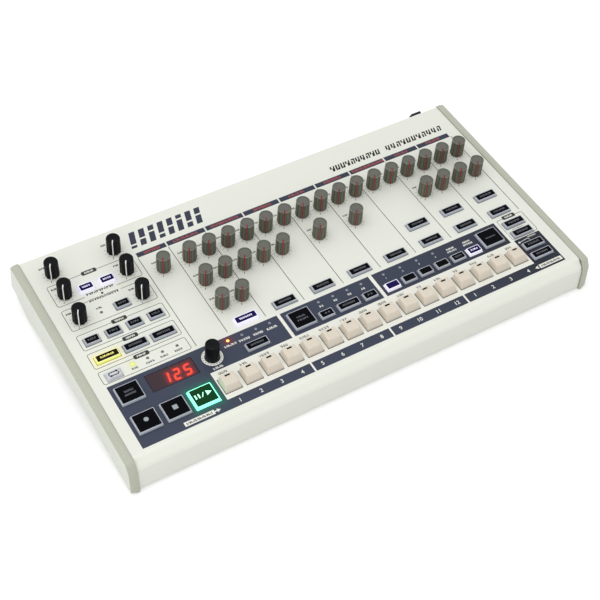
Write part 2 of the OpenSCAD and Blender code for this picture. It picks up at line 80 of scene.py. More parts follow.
# Shapes. A chunk is (points, face sets, finish number or a list of them for each face set, edge share
# of each point). The edge share is 1 on a worn rim, and below 0 it paints shade, down to -1 in the bottom of
# a hollow.

def chunk(points, faceSets, finish=0, edge=None):
    points = np.asarray(points, float).reshape(-1, 3)
    return points, faceSets, finish, np.zeros(len(points)) if edge is None else np.ravel(edge)


def shareOf(rows):
    # the last value of each row, its edge share
    return [row[-1] for row in rows]


def moved(part, x, y, w=0.0):
    return part[0] + [x, y, w], *part[1:]


def unit(vector):
    return vector / np.linalg.norm(vector)


def fullTurn(sides):
    return np.arange(sides) * 2 * math.pi / sides


def polar(radius, angle):
    return np.stack([radius * np.cos(angle), radius * np.sin(angle)], -1)


def atHeight(flat, w):
    return np.column_stack([flat, np.full(len(flat), w)])


def sideView(x, outline):
    # an outline [y, z] standing at x
    return np.column_stack([np.full(len(outline), x), outline])


def twoLevels(flat, low, high):
    # many flat outlines, each at the lower height and then at the upper one
    return np.concatenate([np.dstack([flat, np.full(flat.shape[:2], w)]) for w in (low, high)], 1)


def rectangle(x, y, width, depth):
    return x - width / 2, y - depth / 2, x + width / 2, y + depth / 2


def ringFaces(rows, count):
    # quads between each ring and the next, the last point of a ring joined to its first
    i, j = np.arange(rows - 1)[:, None] * count, np.arange(count)[None, :]
    k = (j + 1) % count
    return np.stack([i + j, i + k, i + count + k, i + count + j], -1).reshape(-1, 4)


def loft(rings, finish=0, edge=None):
    # rings counterclockwise seen from where they are going, closed flat at both ends; each belt
    # between rings may have its own finish, and the ends take their belt's
    rings = np.asarray(rings, float)
    rows, count = rings.shape[:2]
    ends = np.arange(count)
    belts = np.broadcast_to(finish, rows - 1)
    faces = [ringFaces(rows, count), ends[None, ::-1], (ends + (rows - 1) * count)[None, :]]
    if edge is not None:
        edge = np.broadcast_to(np.reshape(edge, (rows, -1)), (rows, count))
    return chunk(rings, faces, [np.repeat(belts, count), belts[0], belts[-1]], edge)


def prism(outline, low, high):
    # a flat outline between two heights
    outline = np.asarray(outline, float)
    x, y = outline.T
    if np.sum(x * np.roll(y, -1) - y * np.roll(x, -1)) < 0:
        outline = outline[::-1]
    return loft([atHeight(outline, low), atHeight(outline, high)])


def plates(centres, sizes, low, high, turnDeg=0.0, lean=0.0, finish=0):
    # many thin boxes in one go: corner signs times half sizes, leaned, turned and moved
    centres = np.atleast_2d(np.asarray(centres, float))
    sizes = np.broadcast_to(np.asarray(sizes, float), centres.shape)
    x, y = np.moveaxis(np.array([[-1, -1], [1, -1], [1, 1], [-1, 1]]) / 2 * sizes[:, None], -1, 0)
    x = x + lean * y
    turn = np.radians(np.broadcast_to(turnDeg, len(centres)))[:, None]
    flat = np.stack([x * np.cos(turn) - y * np.sin(turn), x * np.sin(turn) + y * np.cos(turn)], -1)
    box = np.array([[3, 2, 1, 0], [4, 5, 6, 7], [0, 1, 5, 4], [1, 2, 6, 5], [2, 3, 7, 6], [3, 0, 4, 7]])
    faces = (box[None] + 8 * np.arange(len(centres))[:, None, None]).reshape(-1, 4)
    return chunk(twoLevels(flat + centres[:, None], low, high), [faces], finish)


def slab(xs, ys, mask, low, high, finish=0):
    # flat cells of a grid where the mask is true, with a wall wherever a kept cell meets a cut one
    n = len(xs) * len(ys)
    grid = np.arange(n).reshape(len(xs), len(ys))
    around = np.pad(mask, 1)
    corners = [grid[:-1, :-1], grid[1:, :-1], grid[1:, 1:], grid[:-1, 1:]]
    sides = [around[1:-1, :-2], around[2:, 1:-1], around[1:-1, 2:], around[:-2, 1:-1]]
    faces = [np.stack([c[mask] for c in corners[::-1]], -1), np.stack([c[mask] for c in corners], -1) + n]
    for k, beside in enumerate(sides):
        bare = mask & ~beside
        a, b = corners[k][bare], corners[(k + 1) % 4][bare]
        faces.append(np.stack([a, b, b + n, a + n], -1))
    used, renumbered = np.unique(np.concatenate(faces), return_inverse=True)
    flat = np.stack([axis.ravel() for axis in np.meshgrid(xs, ys, indexing="ij")], -1)
    points = np.concatenate([atHeight(flat, low), atHeight(flat, high)])
    return chunk(points[used], [renumbered.reshape(-1, 4)], finish)


def printedArea(keep, cut, low, high, finish=0):
    # rectangles (x0, y0, x1, y1) to print, less the rectangles to leave open
    keep, cut = (np.asarray(r, float).reshape(-1, 4) for r in (keep, cut))
    both = np.round(np.concatenate([keep, cut]), 3)
    xs, ys = np.unique(both[:, [0, 2]]), np.unique(both[:, [1, 3]])
    midX, midY = (xs[1:] + xs[:-1]) / 2, (ys[1:] + ys[:-1]) / 2

    def covered(r):
        inX = (midX > r[:, :1]) & (midX < r[:, 2:3])
        inY = (midY > r[:, 1:2]) & (midY < r[:, 3:])
        return (inX[:, :, None] & inY[:, None, :]).any(0)

    return slab(xs, ys, covered(keep) & ~covered(cut), low, high, finish)


def stripe(path, width, low, high):
    # a flat rectangle of the line's width carried along a path of panel places
    path = np.asarray(path, float)
    along = np.gradient(path, axis=0)
    along /= np.linalg.norm(along, axis=1)[:, None]
    side = np.stack([-along[:, 1], along[:, 0]], -1) * width / 2
    corners = [(-1, low), (1, low), (1, high), (-1, high)]
    return loft(np.stack([atHeight(path + s * side, w) for s, w in corners], 1))


def roundedPath(corners, radius):
    # straight runs joined by arcs: corner + r ((1 - sin t) back + (1 - cos t) onward), 0 <= t <= pi / 2
    corners = np.asarray(corners, float)
    path = [corners[0]]
    t = np.linspace(0, math.pi / 2, 7)[:, None]
    for before, at, after in zip(corners[:-2], corners[1:-1], corners[2:]):
        path.extend(at + radius * ((1 - np.sin(t)) * unit(before - at) + (1 - np.cos(t)) * unit(after - at)))
    return np.array(path + [corners[-1]])


def roundedRing(width, depth, radius, steps=4):
    # four quarter arcs joined by straight sides, counterclockwise
    angle = np.linspace(0, math.pi / 2, steps + 1)[None] + np.arange(4)[:, None] * math.pi / 2
    middles = np.array([[1, 1], [-1, 1], [-1, -1], [1, -1]]) * [width / 2 - radius, depth / 2 - radius]
    return (middles[:, None] + polar(radius, angle)).reshape(-1, 2)


def disc(x, y, radius, low, high, sides=32):
    return prism([x, y] + polar(radius, fullTurn(sides)), low, high)


def annulus(x, y, inner, outer, low, high, sides=48):
    # a flat ring: its four corners turned about the middle
    way = polar(1, fullTurn(sides))
    corners = [(inner, low), (inner, high), (outer, high), (outer, low)]
    rings = np.stack([atHeight([x, y] + r * way, w) for r, w in corners], 1)
    i, j = np.arange(sides)[:, None], np.arange(4)[None]
    k, m = (i + 1) % sides, (j + 1) % 4
    return chunk(rings, [np.stack([i * 4 + j, i * 4 + m, k * 4 + m, k * 4 + j], -1).reshape(-1, 4)])


sharpDeg = 34.0


def buildPiece(name, chunks, finishes, body, replaced=(), place=panelPoint):
    # joins the chunks into one mesh with the edge share as a point attribute and the named finishes
    loops, sizes, numbers, start = [], [], [], 0
    for points, faceSets, number, _ in chunks:
        numberOf = number if isinstance(number, list) else [number] * len(faceSets)
        for faces, faceNumber in zip(faceSets, numberOf):
            loops.append((faces + start).ravel())
            sizes.append(np.full(len(faces), faces.shape[1]))
            numbers.append(np.broadcast_to(faceNumber, len(faces)))
        start += len(points)
    loops, sizes, numbers = (np.concatenate(a).astype(np.int32) for a in (loops, sizes, numbers))
    mesh = bpy.data.meshes.new(name)
    mesh.vertices.add(start)
    mesh.vertices.foreach_set("co", place(np.concatenate([c[0] for c in chunks])).astype(np.float32).ravel())
    mesh.loops.add(len(loops))
    mesh.loops.foreach_set("vertex_index", loops)
    mesh.polygons.add(len(sizes))
    mesh.polygons.foreach_set("loop_start", np.cumsum(sizes, dtype=np.int32) - sizes)
    mesh.update(calc_edges=True)
    mesh.polygons.foreach_set("material_index", numbers)
    edge = mesh.attributes.new("edge", "FLOAT", "POINT")
    edge.data.foreach_set("value", np.concatenate([c[3] for c in chunks]).astype(np.float32))
    mesh.shade_smooth()
    mesh.set_sharp_from_angle(angle=math.radians(sharpDeg))
    for finishName in finishes.split():
        mesh.materials.append(finish[finishName])
    piece = bpy.data.objects.new(name, mesh)
    scene.collection.objects.link(piece)
    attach(piece, body)
    if replaced:
        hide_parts(*replaced)


# Finishes

surface = {
    "fineDetail": 3.0, "fineRoughness": 0.6, "fineShare": 0.4, "mottleScale": 28.0, "slowDetail": 4.0,
    "roughSpread": 0.1, "bumpDistance": 0.0002, "patchScale": 420.0, "patchFrom": 0.35, "patchTo": 0.65,
    "darkest": 0.06,
}
black, midGrey = (0, 0, 0, 1), (0.5, 0.5, 0.5, 1)


def paint(code):
    # the linear colour of a written #rrggbb one
    parts = [int(code[i:i + 2], 16) / 255 for i in (1, 3, 5)]
    return tuple(v / 12.92 if v <= 0.04045 else ((v + 0.055) / 1.055) ** 2.4 for v in parts) + (1.0,)


def newGroup(name, inputs, outputs):
    # a node group: an input without a value is a vector, one with four numbers a colour
    group = bpy.data.node_groups.new(name, "ShaderNodeTree")
    for socketName, value in inputs.items():
        kind = "Vector" if value is None else "Float" if isinstance(value, float) else "Color"
        socket = group.interface.new_socket(socketName, in_out="INPUT", socket_type="NodeSocket" + kind)
        if value is not None:
            socket.default_value = value
    for socketName, kind in outputs.items():
        group.interface.new_socket(socketName, in_out="OUTPUT", socket_type="NodeSocket" + kind)
    return group, group.nodes.new("NodeGroupInput").outputs, group.nodes.new("NodeGroupOutput")


def setSockets(tree, node, values):
    # sets or links a node's inputs by name or number
    for key, value in values.items():
        if isinstance(value, bpy.types.NodeSocket):
            tree.links.new(value, node.inputs[key])
        else:
            node.inputs[key].default_value = value


def addNode(tree, kind, values=None, **settings):
    node = tree.nodes.new("ShaderNode" + kind)
    for key, value in settings.items():
        setattr(node, key, value)
    setSockets(tree, node, values or {})
    return node


def mathNode(operation, a, b=0.0):
    # the tree is the one the first socket belongs to
    return addNode(a.id_data, "Math", {0: a, 1: b}, operation=operation).outputs[0]


def multiply(a, b):
    return mathNode("MULTIPLY", a, b)


def add(a, b):
    return mathNode("ADD", a, b)


def vectorNode(operation, a, second=(0, 0, 0), **values):
    return addNode(a.id_data, "VectorMath", {0: a, 1: second, **values}, operation=operation).outputs[0]


def noise(given, scale, detail, **values):
    return addNode(given[0].id_data, "TexNoise", {
        "Vector": given["Vector"], "Scale": scale, "Detail": detail, **values}).outputs["Fac"]


def mixColour(share, a, b):
    return addNode(share.id_data, "Mix", {0: share, 6: a, 7: b}, data_type="RGBA").outputs[2]


def objectPlace(tree):
    return addNode(tree, "TexCoord").outputs["Object"]


def edgeShare(tree):
    return addNode(tree, "Attribute", attribute_name="edge").outputs["Fac"]


def makeGrain():
    # fine grain for the bump, and slow mottling that moves the colour and the roughness a little
    group, given, result = newGroup(
        "surfaceGrain", {"Vector": None, "Colour": midGrey, "Shade": 0.08, "Roughness": 0.5, "Spread": 0.08,
                         "Grain": 1500.0}, {"Colour": "Color", "Roughness": "Float", "Height": "Float"})
    fine = noise(given, given["Grain"], surface["fineDetail"], Roughness=surface["fineRoughness"])
    slow = noise(given, surface["mottleScale"], surface["slowDetail"])
    mixed = add(multiply(fine, surface["fineShare"]), multiply(slow, 1 - surface["fineShare"]))
    centred = mathNode("SUBTRACT", mixed, 0.5)
    bright = add(multiply(centred, given["Shade"]), 1.0)
    setSockets(group, result, {
        "Colour": vectorNode("SCALE", given["Colour"], Scale=bright), "Height": fine,
        "Roughness": add(given["Roughness"], multiply(centred, given["Spread"]))})
    return group


def makeWearAndShade():
    # lightens worn rims in broken patches and paints shade into hollows, by the piece's own edge attribute
    group, given, result = newGroup(
        "edgeWearAndPaintedShade", {"Vector": None, "Colour": midGrey, "Worn": (0.8, 0.8, 0.8, 1), "Edge": 0.0,
                     "Amount": 0.4}, {"Colour": "Color"})
    patch = noise(given, surface["patchScale"], surface["slowDetail"])
    share = addNode(group, "MapRange", {"Value": patch, 1: surface["patchFrom"], 2: surface["patchTo"]},
                    clamp=True).outputs[0]
    rim = multiply(mathNode("MAXIMUM", given["Edge"]), share)
    # painted shade: the colour darkens where the edge share is below 0
    hollow = mathNode("MAXIMUM", add(mathNode("MINIMUM", given["Edge"]), 1.0), surface["darkest"])
    shaded = vectorNode("SCALE", given["Colour"], Scale=hollow)
    worn = multiply(rim, given["Amount"])
    setSockets(group, result, {"Colour": mixColour(worn, shaded, given["Worn"])})
    return group


def makeLightAndShadeMask():
    # how near a point is to a box where light and shade are painted: exp(-distance / reach)
    group, given, result = newGroup(
        "paintedLightAndShadeMask", {"Vector": None, "Centre": None, "Half": None, "Reach": 0.003}, {"Mask": "Float"})
    beside = vectorNode("ABSOLUTE", vectorNode("SUBTRACT", given["Vector"], second=given["Centre"]))
    outside = vectorNode("MAXIMUM", vectorNode("SUBTRACT", beside, second=given["Half"]))
    distance = addNode(group, "VectorMath", {0: outside}, operation="LENGTH").outputs["Value"]
    ratio = mathNode("DIVIDE", distance, given["Reach"])
    setSockets(group, result, {"Mask": mathNode("EXPONENT", multiply(ratio, -1.0))})
    return group


grainGroup, wearAndShadeGroup, lightAndShadeGroup = makeGrain(), makeWearAndShade(), makeLightAndShadeMask()


def makeFinish(name, colour, rough, grain, shade=0.1, bump=0.08, specular=0.5, glow=None, wear=None,
               metal=0.0):
    # one material: the grain group and the group for wear and painted shade, on Object coordinates, into a
    # Principled shader
    material = bpy.data.materials.new(name)
    material.use_nodes = True
    tree = material.node_tree
    where = objectPlace(tree)
    grained = addNode(tree, "Group", {
        "Vector": where, "Colour": paint(colour), "Shade": shade, "Roughness": rough,
        "Spread": surface["roughSpread"], "Grain": grain}, node_tree=grainGroup).outputs
    values = {"Base Color": grained["Colour"], "Roughness": grained["Roughness"], "Metallic": metal,
              "Specular IOR Level": specular}
    if wear:
        values["Base Color"] = addNode(tree, "Group", {
            "Vector": where, "Colour": grained["Colour"], "Worn": paint(wear[1]), "Edge": edgeShare(tree),
            "Amount": wear[0]}, node_tree=wearAndShadeGroup).outputs["Colour"]
    if bump:
        values["Normal"] = addNode(tree, "Bump", {"Height": grained["Height"], "Strength": bump,
                                                  "Distance": surface["bumpDistance"]}).outputs[0]
    if glow:
        values |= {"Emission Color": paint(glow[0]), "Emission Strength": glow[1]}
    setSockets(tree, tree.nodes["Principled BSDF"], values)
    return material


def paintLightAndShade(finishName, centre, half, reach, paintedTint, glow):
    # paints light round a lit part, and shade, into the surface by a box mask: the colour into the base
    # colour and the glow into the emission; sizes in millimetres
    tree = finish[finishName].node_tree
    shader = tree.nodes["Principled BSDF"]
    mask = addNode(tree, "Group", {
        "Vector": objectPlace(tree), "Centre": panelPoint(centre), "Half": [size / 1000 for size in half],
        "Reach": reach / 1000}, node_tree=lightAndShadeGroup).outputs["Mask"]
    for socketName, code in (("Base Color", paintedTint), ("Emission Color", glow)):
        links = shader.inputs[socketName].links
        before = links[0].from_socket if links else black
        setSockets(tree, shader, {socketName: mixColour(mask, before, paint(code))})
    shader.inputs["Emission Strength"].default_value = 1.0


finishTable = {
    # colour, roughness, grain, mottling, bump, specular, (glow, its strength), (wear, its colour), metal; a
    # wear entry also paints shade where the edge share is below 0
    "panelPaint": ("#E8EAE0", 0.42, 2600, 0.03, 0.12),
    "panPaint": ("#3B3D40", 0.55, 2200, 0.15, 0.15),
    "cheekBand": ("#B9BBAB", 0.5, 2000, 0.06, 0.2, 0.3, None, (0.35, "#D8DACE")),
    # a paler copy of the cheek plastic: painted light on the outer face
    "cheekFace": ("#DFE2D8", 0.5, 2000, 0.05, 0.2),
    "knobSide": ("#666759", 0.5, 1800, 0.12, 0.1, 0.2, None, (0.5, "#9A9D92")),
    "knobTop": ("#6A6C64", 0.5, 1800, 0.1, 0.1, 0.2, None, (0.5, "#A9ACA2")),
    "pointerRed": ("#8A2431", 0.4, 1500, 0.1, 0.08, 0.2),
    "knobBlack": ("#0F1013", 0.42, 1800, 0.2, 0.08, 0.08, None, (0.35, "#303136")),
    "pointerWhite": ("#F2F2EE", 0.4, 1500, 0.04),
    "keyPlastic": ("#DFD5C5", 0.4, 1500, 0.05, 0.08, 0.3, None, (0.4, "#F2EADD")),
    "keyLens": ("#120F10", 0.25, 1500, 0.1, 0.08, 0.1),
    "skirt": ("#AFB5C0", 0.35, 1500, 0.06, 0.08, 0.25, None, (0.6, "#DADEE5")),
    "skirtYellow": ("#EDF08E", 0.35, 1500, 0.1, 0.08, 0.2, ("#C8D048", 0.3), (0.9, "#FFF6DA")),
    "skirtMint": ("#96FFD7", 0.35, 1500, 0.1, 0.08, 0.2, ("#78F5C6", 1.5)),
    "skirtWhite": ("#F2F1FA", 0.35, 1500, 0.1, 0.08, 0.2, ("#ECEAFF", 0.26)),
    "capBlack": ("#08090D", 0.22, 900, 0.2, 0.02, 0.03, None, (0.3, "#2A2D35")),
    "capViolet": ("#1A1448", 0.25, 1500, 0.1, 0.02, 0.03, ("#2A1C66", 0.15)),
    "capGreen": ("#0A3318", 0.25, 1500, 0.1, 0.02, 0.08, ("#0E4A22", 0.25)),
    "capAmber": ("#1C1409", 0.25, 1500, 0.1, 0.02, 0.08),
    "capPale": ("#CFD2D8", 0.3, 1500, 0.06),
    "markDim": ("#585C63", 0.5, 1500, 0.1, 0),
    "markPale": ("#9AA4A8", 0.5, 1500, 0.06, 0),
    "markBright": ("#E8E5F8", 0.5, 1500, 0.03, 0, 0.5, ("#E8E8F2", 0.25)),
    "markYellow": ("#F0E27E", 0.5, 1500, 0.03, 0, 0.5, ("#F0E27E", 0.3)),
    "markMint": ("#B8FFDC", 0.5, 1500, 0.03, 0, 0.5, ("#A6FFD2", 0.7)),
    "printSlate": ("#3D4355", 0.42, 2600, 0.05, 0.1, 0.2),
    "printTitle": ("#353A4B", 0.42, 2600, 0.06, 0.1, 0.2),
    "printWhite": ("#ECECE3", 0.42, 2600, 0.02, 0.1),
    "printRed": ("#A9484B", 0.45, 1500, 0.05, 0),
    "printDark": ("#262724", 0.45, 1500, 0.08, 0, 0.2),
    "printPill": ("#393A37", 0.45, 1500, 0.06, 0, 0.2),
    # painted shadow of the gaps between the panel and the cheeks
    "seamPaintedShadow": ("#9DA092", 0.6, 1500, 0.1, 0, 0.1),
    "printLine": ("#4A4C46", 0.45, 1500, 0.05, 0, 0.2),
    "lensClear": ("#8C909A", 0.25, 1500, 0.05, 0, 0.3),
    "lensDark": ("#6E6F68", 0.3, 1500, 0.08, 0, 0.3),
    "lensOrange": ("#FFB36B", 0.3, 1500, 0.1, 0, 0.5, ("#FFA048", 3.0)),
    "lensYellow": ("#D5DE78", 0.3, 1500, 0.1, 0, 0.5, ("#D5DE78", 0.5)),
    "digitRed": ("#FF3A20", 0.3, 1500, 0.1, 0, 0.5, ("#FF2C14", 1.6)),
    "smokedPane": ("#3F3137", 0.25, 1500, 0.1, 0, 0.15),
    "paneFrame": ("#22202A", 0.35, 1500, 0.1, 0, 0.15),
    "socketBlack": ("#1E1F21", 0.32, 1500, 0.15, 0.06, 0.3),
    "socketMetal": ("#8D9196", 0.35, 1500, 0.1, 0.06, 0.5, None, None, 0.9),
    "blackPlastic": ("#202123", 0.45, 1500, 0.15, 0.12, 0.25),
    "rubber": ("#17181A", 0.8, 1200, 0.2, 0.3, 0.25),
    "steel": ("#A9ADB2", 0.3, 1500, 0.1, 0.05, 0.5, None, None, 1.0),
    "potMetal": ("#9A9EA4", 0.35, 1500, 0.1, 0.05, 0.5, None, None, 0.9),
    "boardGreen": ("#2F5D3A", 0.35, 600, 0.2, 0.05),
}
finish = {name: makeFinish(name, *row) for name, row in finishTable.items()}
cadFinishes = {
    "top_panel": "panelPaint", "bottom_pan": "panPaint", "circuit_boards": "boardGreen",
    "potentiometers": "potMetal", "audio_jacks": "socketBlack", "midi_sockets": "socketBlack",
    "power_usb_sockets": "socketMetal", "cable_hook": "blackPlastic", "feet": "rubber",
    "screws": "steel", "power_switch": "blackPlastic",
}
for node, finishName in cadFinishes.items():
    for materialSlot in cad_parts[node].material_slots:
        materialSlot.material = finish[finishName]
print("finishes made:", len(finish))


# Cheeks

cheek = {
    # side view [y, z, corner radius], as the CAD has it
    "outline": [(0, 1.5, 1.2), (0.9, 28, 6), (5.6, 37.1, 4), (254.3, 50.6, 2.5), (263, 16.2, 1.5),
                (254, 15, 3), (237, 8, 5), (231, 3.4, 2), (222, 3.4, 4), (150, 11.6, 60),
                (98, 11.6, 60), (58, 7, 60), (6, 1.5, 2)],
    "outerRound": 1.4, "crownWidth": 4.2, "crownDrop": 0.8, "innerRound": 0.7, "wall": 2.2,
    "ribY": [18, 50, 80, 105, 152, 178, 205, 240], "ribWidth": 1.4,
    "toe": [(0.3, 0.4), (3.2, 0.4), (4.6, 3), (0.3, 3)], "toeX": (5, 8), "leastRound": 0.12,
}


def roundedOutline(corners):
    # each corner [y, z, r] becomes an arc of radius r between its tangent points
    corners = np.array(corners, float)
    points = []
    for before, at, after in zip(np.roll(corners, 1, 0), corners, np.roll(corners, -1, 0)):
        u, v = unit((before - at)[:2]), unit((after - at)[:2])
        half = math.acos(np.clip(u @ v, -1, 1)) / 2
        middle = at[:2] + unit(u + v) * at[2] / math.sin(half)
        start, end = (at[:2] + way * at[2] / math.tan(half) - middle for way in (u, v))
        sweep = math.atan2(start[0] * end[1] - start[1] * end[0], start @ end)
        points.append(middle + polar(at[2], math.atan2(start[1], start[0]) + np.linspace(0, sweep, 9)))
    return np.concatenate(points)


def drawnIn(corners, by):
    # every side of a counterclockwise outline moved in by the same amount: corners move along their
    # bisectors, and arcs grow tighter where they bulge and wider where they hollow
    corners = np.array(corners, float)
    into = corners[:, :2] - np.roll(corners[:, :2], 1, 0)
    into /= np.linalg.norm(into, axis=1)[:, None]
    out = np.roll(into, -1, 0)
    normals = [np.stack([-d[:, 1], d[:, 0]], -1) for d in (into, out)]
    step = (normals[0] + normals[1]) / (1 + np.sum(into * out, 1))[:, None]
    turn = into[:, 0] * out[:, 1] - into[:, 1] * out[:, 0]
    radius = np.maximum(corners[:, 2] - np.sign(turn) * by, cheek["leastRound"])
    return roundedOutline(np.column_stack([corners[:, :2] + by * step, radius]))


def makeCheek(side):
    # rings from the outer face over its rounded rim and the sloping crown, across and into the hollow
    corners = cheek["outline"][::-1]
    r, q, drop, wall = (cheek[key] for key in ("outerRound", "innerRound", "crownDrop", "wall"))
    width = case["cheekWidth"]
    a = np.linspace(0, math.pi / 2, 6)
    # inset, x, edge share; below 0 the share paints shade in the inner round and down the inner wall
    rows = [(drop + r * (1 - math.sin(t)), r * (1 - math.cos(t)), 0.3) for t in a]
    rows += [(0.0, cheek["crownWidth"], 0.5), (0.0, width - q - 1.5, 0.0)]
    rows += [(q * (1 - math.cos(t)), width - q * (1 - math.sin(t)), 0.3 - 1.2 * t / math.pi) for t in a[::2]]
    rows += [(wall, width, -0.6), (wall, wall, 0.0)]
    rings = [sideView(x, drawnIn(corners, inset)) for inset, x, _ in rows]
    # the outer face and the first belts of its rim take the second finish, the paler copy that paints light
    # on the face
    parts = [loft(rings, [1, 1] + [0] * (len(rows) - 3), shareOf(rows))]
    outline = drawnIn(corners, 0)
    lower, upper = outline[outline[:, 1] < 20], outline[outline[:, 1] >= 20]
    order = [half[np.argsort(half[:, 0])] for half in (lower, upper)]
    bars = [(cheek["toe"], cheek["toeX"])]
    for y in cheek["ribY"]:
        low, high = (float(np.interp(y, o[:, 0], o[:, 1])) for o in order)
        far = y + cheek["ribWidth"]
        bars.append(([(y, low + 1), (far, low + 1), (far, high - 1), (y, high - 1)],
                     (wall - 0.1, width - 0.6)))
    parts += [loft([sideView(x, outline) for x in levels]) for outline, levels in bars]
    if side == "right":
        parts = [(p * [-1, 1, 1] + [case["width"], 0, 0], [f[:, ::-1] for f in faces], n, e)
                 for p, faces, n, e in parts]
    buildPiece(f"{side}_cheek_shell", parts, "cheekBand cheekFace", "chassis",
               [f"{side}_cheek"], tablePoint)


for side in ("left", "right"):
    makeCheek(side)
print("cheeks done")


# Knobs

knob = {
    "baseR": 6.85, "topR": 6.7, "height": 18.9, "gap": 0.8, "shaftR": 3.0, "shaftLow": -10.2,
    "recessR": 4.6, "recessTop": 2.3, "restDeg": 241.0, "turnDeg": 302.0, "pointerProud": 0.2, "sides": 120,
}
levelFlutes = {"count": 12, "r": 1.05, "depth": 0.5, "below": 1.2}
masterFlutes = {"count": 10, "r": 1.5, "depth": 0.6, "below": 2.2}


def fluteBite(flutes):
    # how far a flute, a circle of radius r standing r - depth outside the cap, cuts in at each angle
    pitch = 2 * math.pi / flutes["count"]
    away = fullTurn(knob["sides"]) % pitch - pitch / 2
    centre = knob["baseR"] + flutes["r"] - flutes["depth"]
    reach = flutes["r"] ** 2 - (centre * np.sin(away)) ** 2
    bite = knob["baseR"] - (centre * np.cos(away) - np.sqrt(np.maximum(reach, 0)))
    return np.where(reach > 0, np.maximum(bite, 0), 0)


def turnedCap(profile, flutes=None, topRow=math.inf):
    # profile rows (radius, height, flute share, edge share) turned about the shaft; the rows from
    # topRow on take the top's finish
    radius, height, fluted, edge = (np.repeat(column[:, None], knob["sides"], 1)
                                    for column in np.array(profile).T)
    if flutes:
        bite = fluteBite(flutes)[None]
        radius = radius - fluted * bite
        # painted shade down in the flutes, and a little worn lightening on the ridges between them
        edge = edge + fluted * (0.2 - 0.6 * bite / flutes["depth"])
    rings = np.dstack([polar(radius, np.radians(knob["restDeg"]) + fullTurn(knob["sides"])), height])
    return loft(rings, 2 * (np.arange(len(profile) - 1) >= topRow), edge)


def knobFoot():
    # shaft, recess and lower rim that every cap shares, with painted shade on the lower rim by the panel
    k = knob
    return [(k["shaftR"], k["shaftLow"], 0, 0), (k["shaftR"], k["recessTop"], 0, 0),
            (k["recessR"], k["recessTop"], 0, 0), (k["recessR"], k["gap"], 0, 0),
            (k["baseR"] - 0.3, k["gap"], 0.6, -0.5), (k["baseR"], k["gap"] + 0.3, 1, -0.3)]


def sideRows(heights, shares):
    # rows up the slightly conical side, with their share of the flutes
    cone = (knob["baseR"] - knob["topR"]) / (knob["height"] - knob["gap"])
    return [(knob["baseR"] - cone * (w - knob["gap"]), w, share, 0) for w, share in zip(heights, shares)]


def dishRows(radius, top, depth, shares):
    return [(radius * share, top - depth * (1 - share ** 2), 0, 0) for share in shares]


def pointerBand(edgeR, inner, width):
    # the pointer's side view, from the middle over the rounded edge and down, given its width
    k = knob
    proud = k["pointerProud"]
    edgeAt = np.array([k["topR"] - edgeR, k["height"] - edgeR])
    outline = np.concatenate([
        [[k["baseR"] - 0.7, k["gap"] + 0.3], [k["baseR"] + proud, k["gap"] + 0.3]],
        edgeAt + polar(edgeR + proud, np.linspace(0, math.pi / 2, 7)),
        [[inner, k["height"] + proud], [inner, k["height"] - 0.6]], [edgeAt - 0.7]])
    out, across = polar(1, math.radians(k["restDeg"])), polar(1, math.radians(k["restDeg"] - 90))
    return loft([np.column_stack([outline[:, :1] * out + side * width / 2 * across, outline[:, 1]])
                 for side in (-1, 1)], 1)


def levelCap():
    # fluted side with a raised rim, and fine turned rings in the sunk disc of its top; shade is painted
    # inside the rim and in the grooves between the rings
    rim, top = knob["topR"], knob["height"]
    fluteTop = top - levelFlutes["below"]
    profile = knobFoot() + sideRows(np.linspace(2, fluteTop - 0.8, 7), np.ones(7))
    profile += sideRows(fluteTop + np.array([-0.4, -0.1, 0.15]), (0.85, 0.5, 0.0))
    topRow = len(profile)
    floor = top - 0.25
    profile += [(rim + 0.02, top - 0.4, 0, 0.6), (rim - 0.08, top - 0.12, 0, 1), (rim - 0.35, top, 0, 1),
                (rim - 0.75, top, 0, 0.5), (rim - 0.95, top - 0.07, 0, -0.4),
                (rim - 1.05, floor, 0, -0.6), (rim - 1.3, floor, 0, -0.4)]
    for r in np.arange(rim - 1.75, 1.0, -0.9):
        profile += [(r + 0.12, floor, 0, 0), (r, floor - 0.07, 0, -0.3), (r - 0.12, floor, 0, 0)]
    profile.append((0.5, floor, 0, 0))
    return [turnedCap(profile, levelFlutes, topRow), pointerBand(edgeR=0.4, inner=3.0, width=1.05)]


def masterCap():
    # broad flutes, a rounded top edge and a shallow dish
    top, r = knob["height"], 1.6
    fluteTop, flatR = top - masterFlutes["below"], knob["topR"] - r
    profile = knobFoot() + sideRows(np.linspace(2, fluteTop - 1.2, 7), np.ones(7))
    profile += sideRows(fluteTop + np.array([-0.8, -0.3, 0.2, 0.6]), (0.9, 0.7, 0.35, 0.0))
    profile += [(flatR + r * math.cos(a), top - r + r * math.sin(a), 0, 0.8 * math.sin(2 * a))
                for a in np.linspace(0.1, math.pi / 2, 7)]
    profile += dishRows(flatR, top, 0.25, (0.88, 0.66, 0.44, 0.12))
    return [turnedCap(profile, masterFlutes), pointerBand(edgeR=r, inner=3.3, width=0.95)]


def encoderCap():
    # plain cap whose top is a shallow bowl
    r, top, bowlR = knob["baseR"] - 0.2, knob["height"], knob["baseR"] - 1.1
    profile = knobFoot()[:4] + [(r - 0.3, 0.8, 0, 0), (r, 1.1, 0, 0.5), (r - 0.05, 9.5, 0, 0),
                                (r - 0.1, top - 1, 0, 0), (r - 0.2, top - 0.5, 0, 1),
                                (r - 0.5, top - 0.15, 0, 1), (bowlR, top, 0, 0.6)]
    return [turnedCap(profile + dishRows(bowlR, top, 0.95, (0.9, 0.75, 0.57, 0.35, 0.1)))]


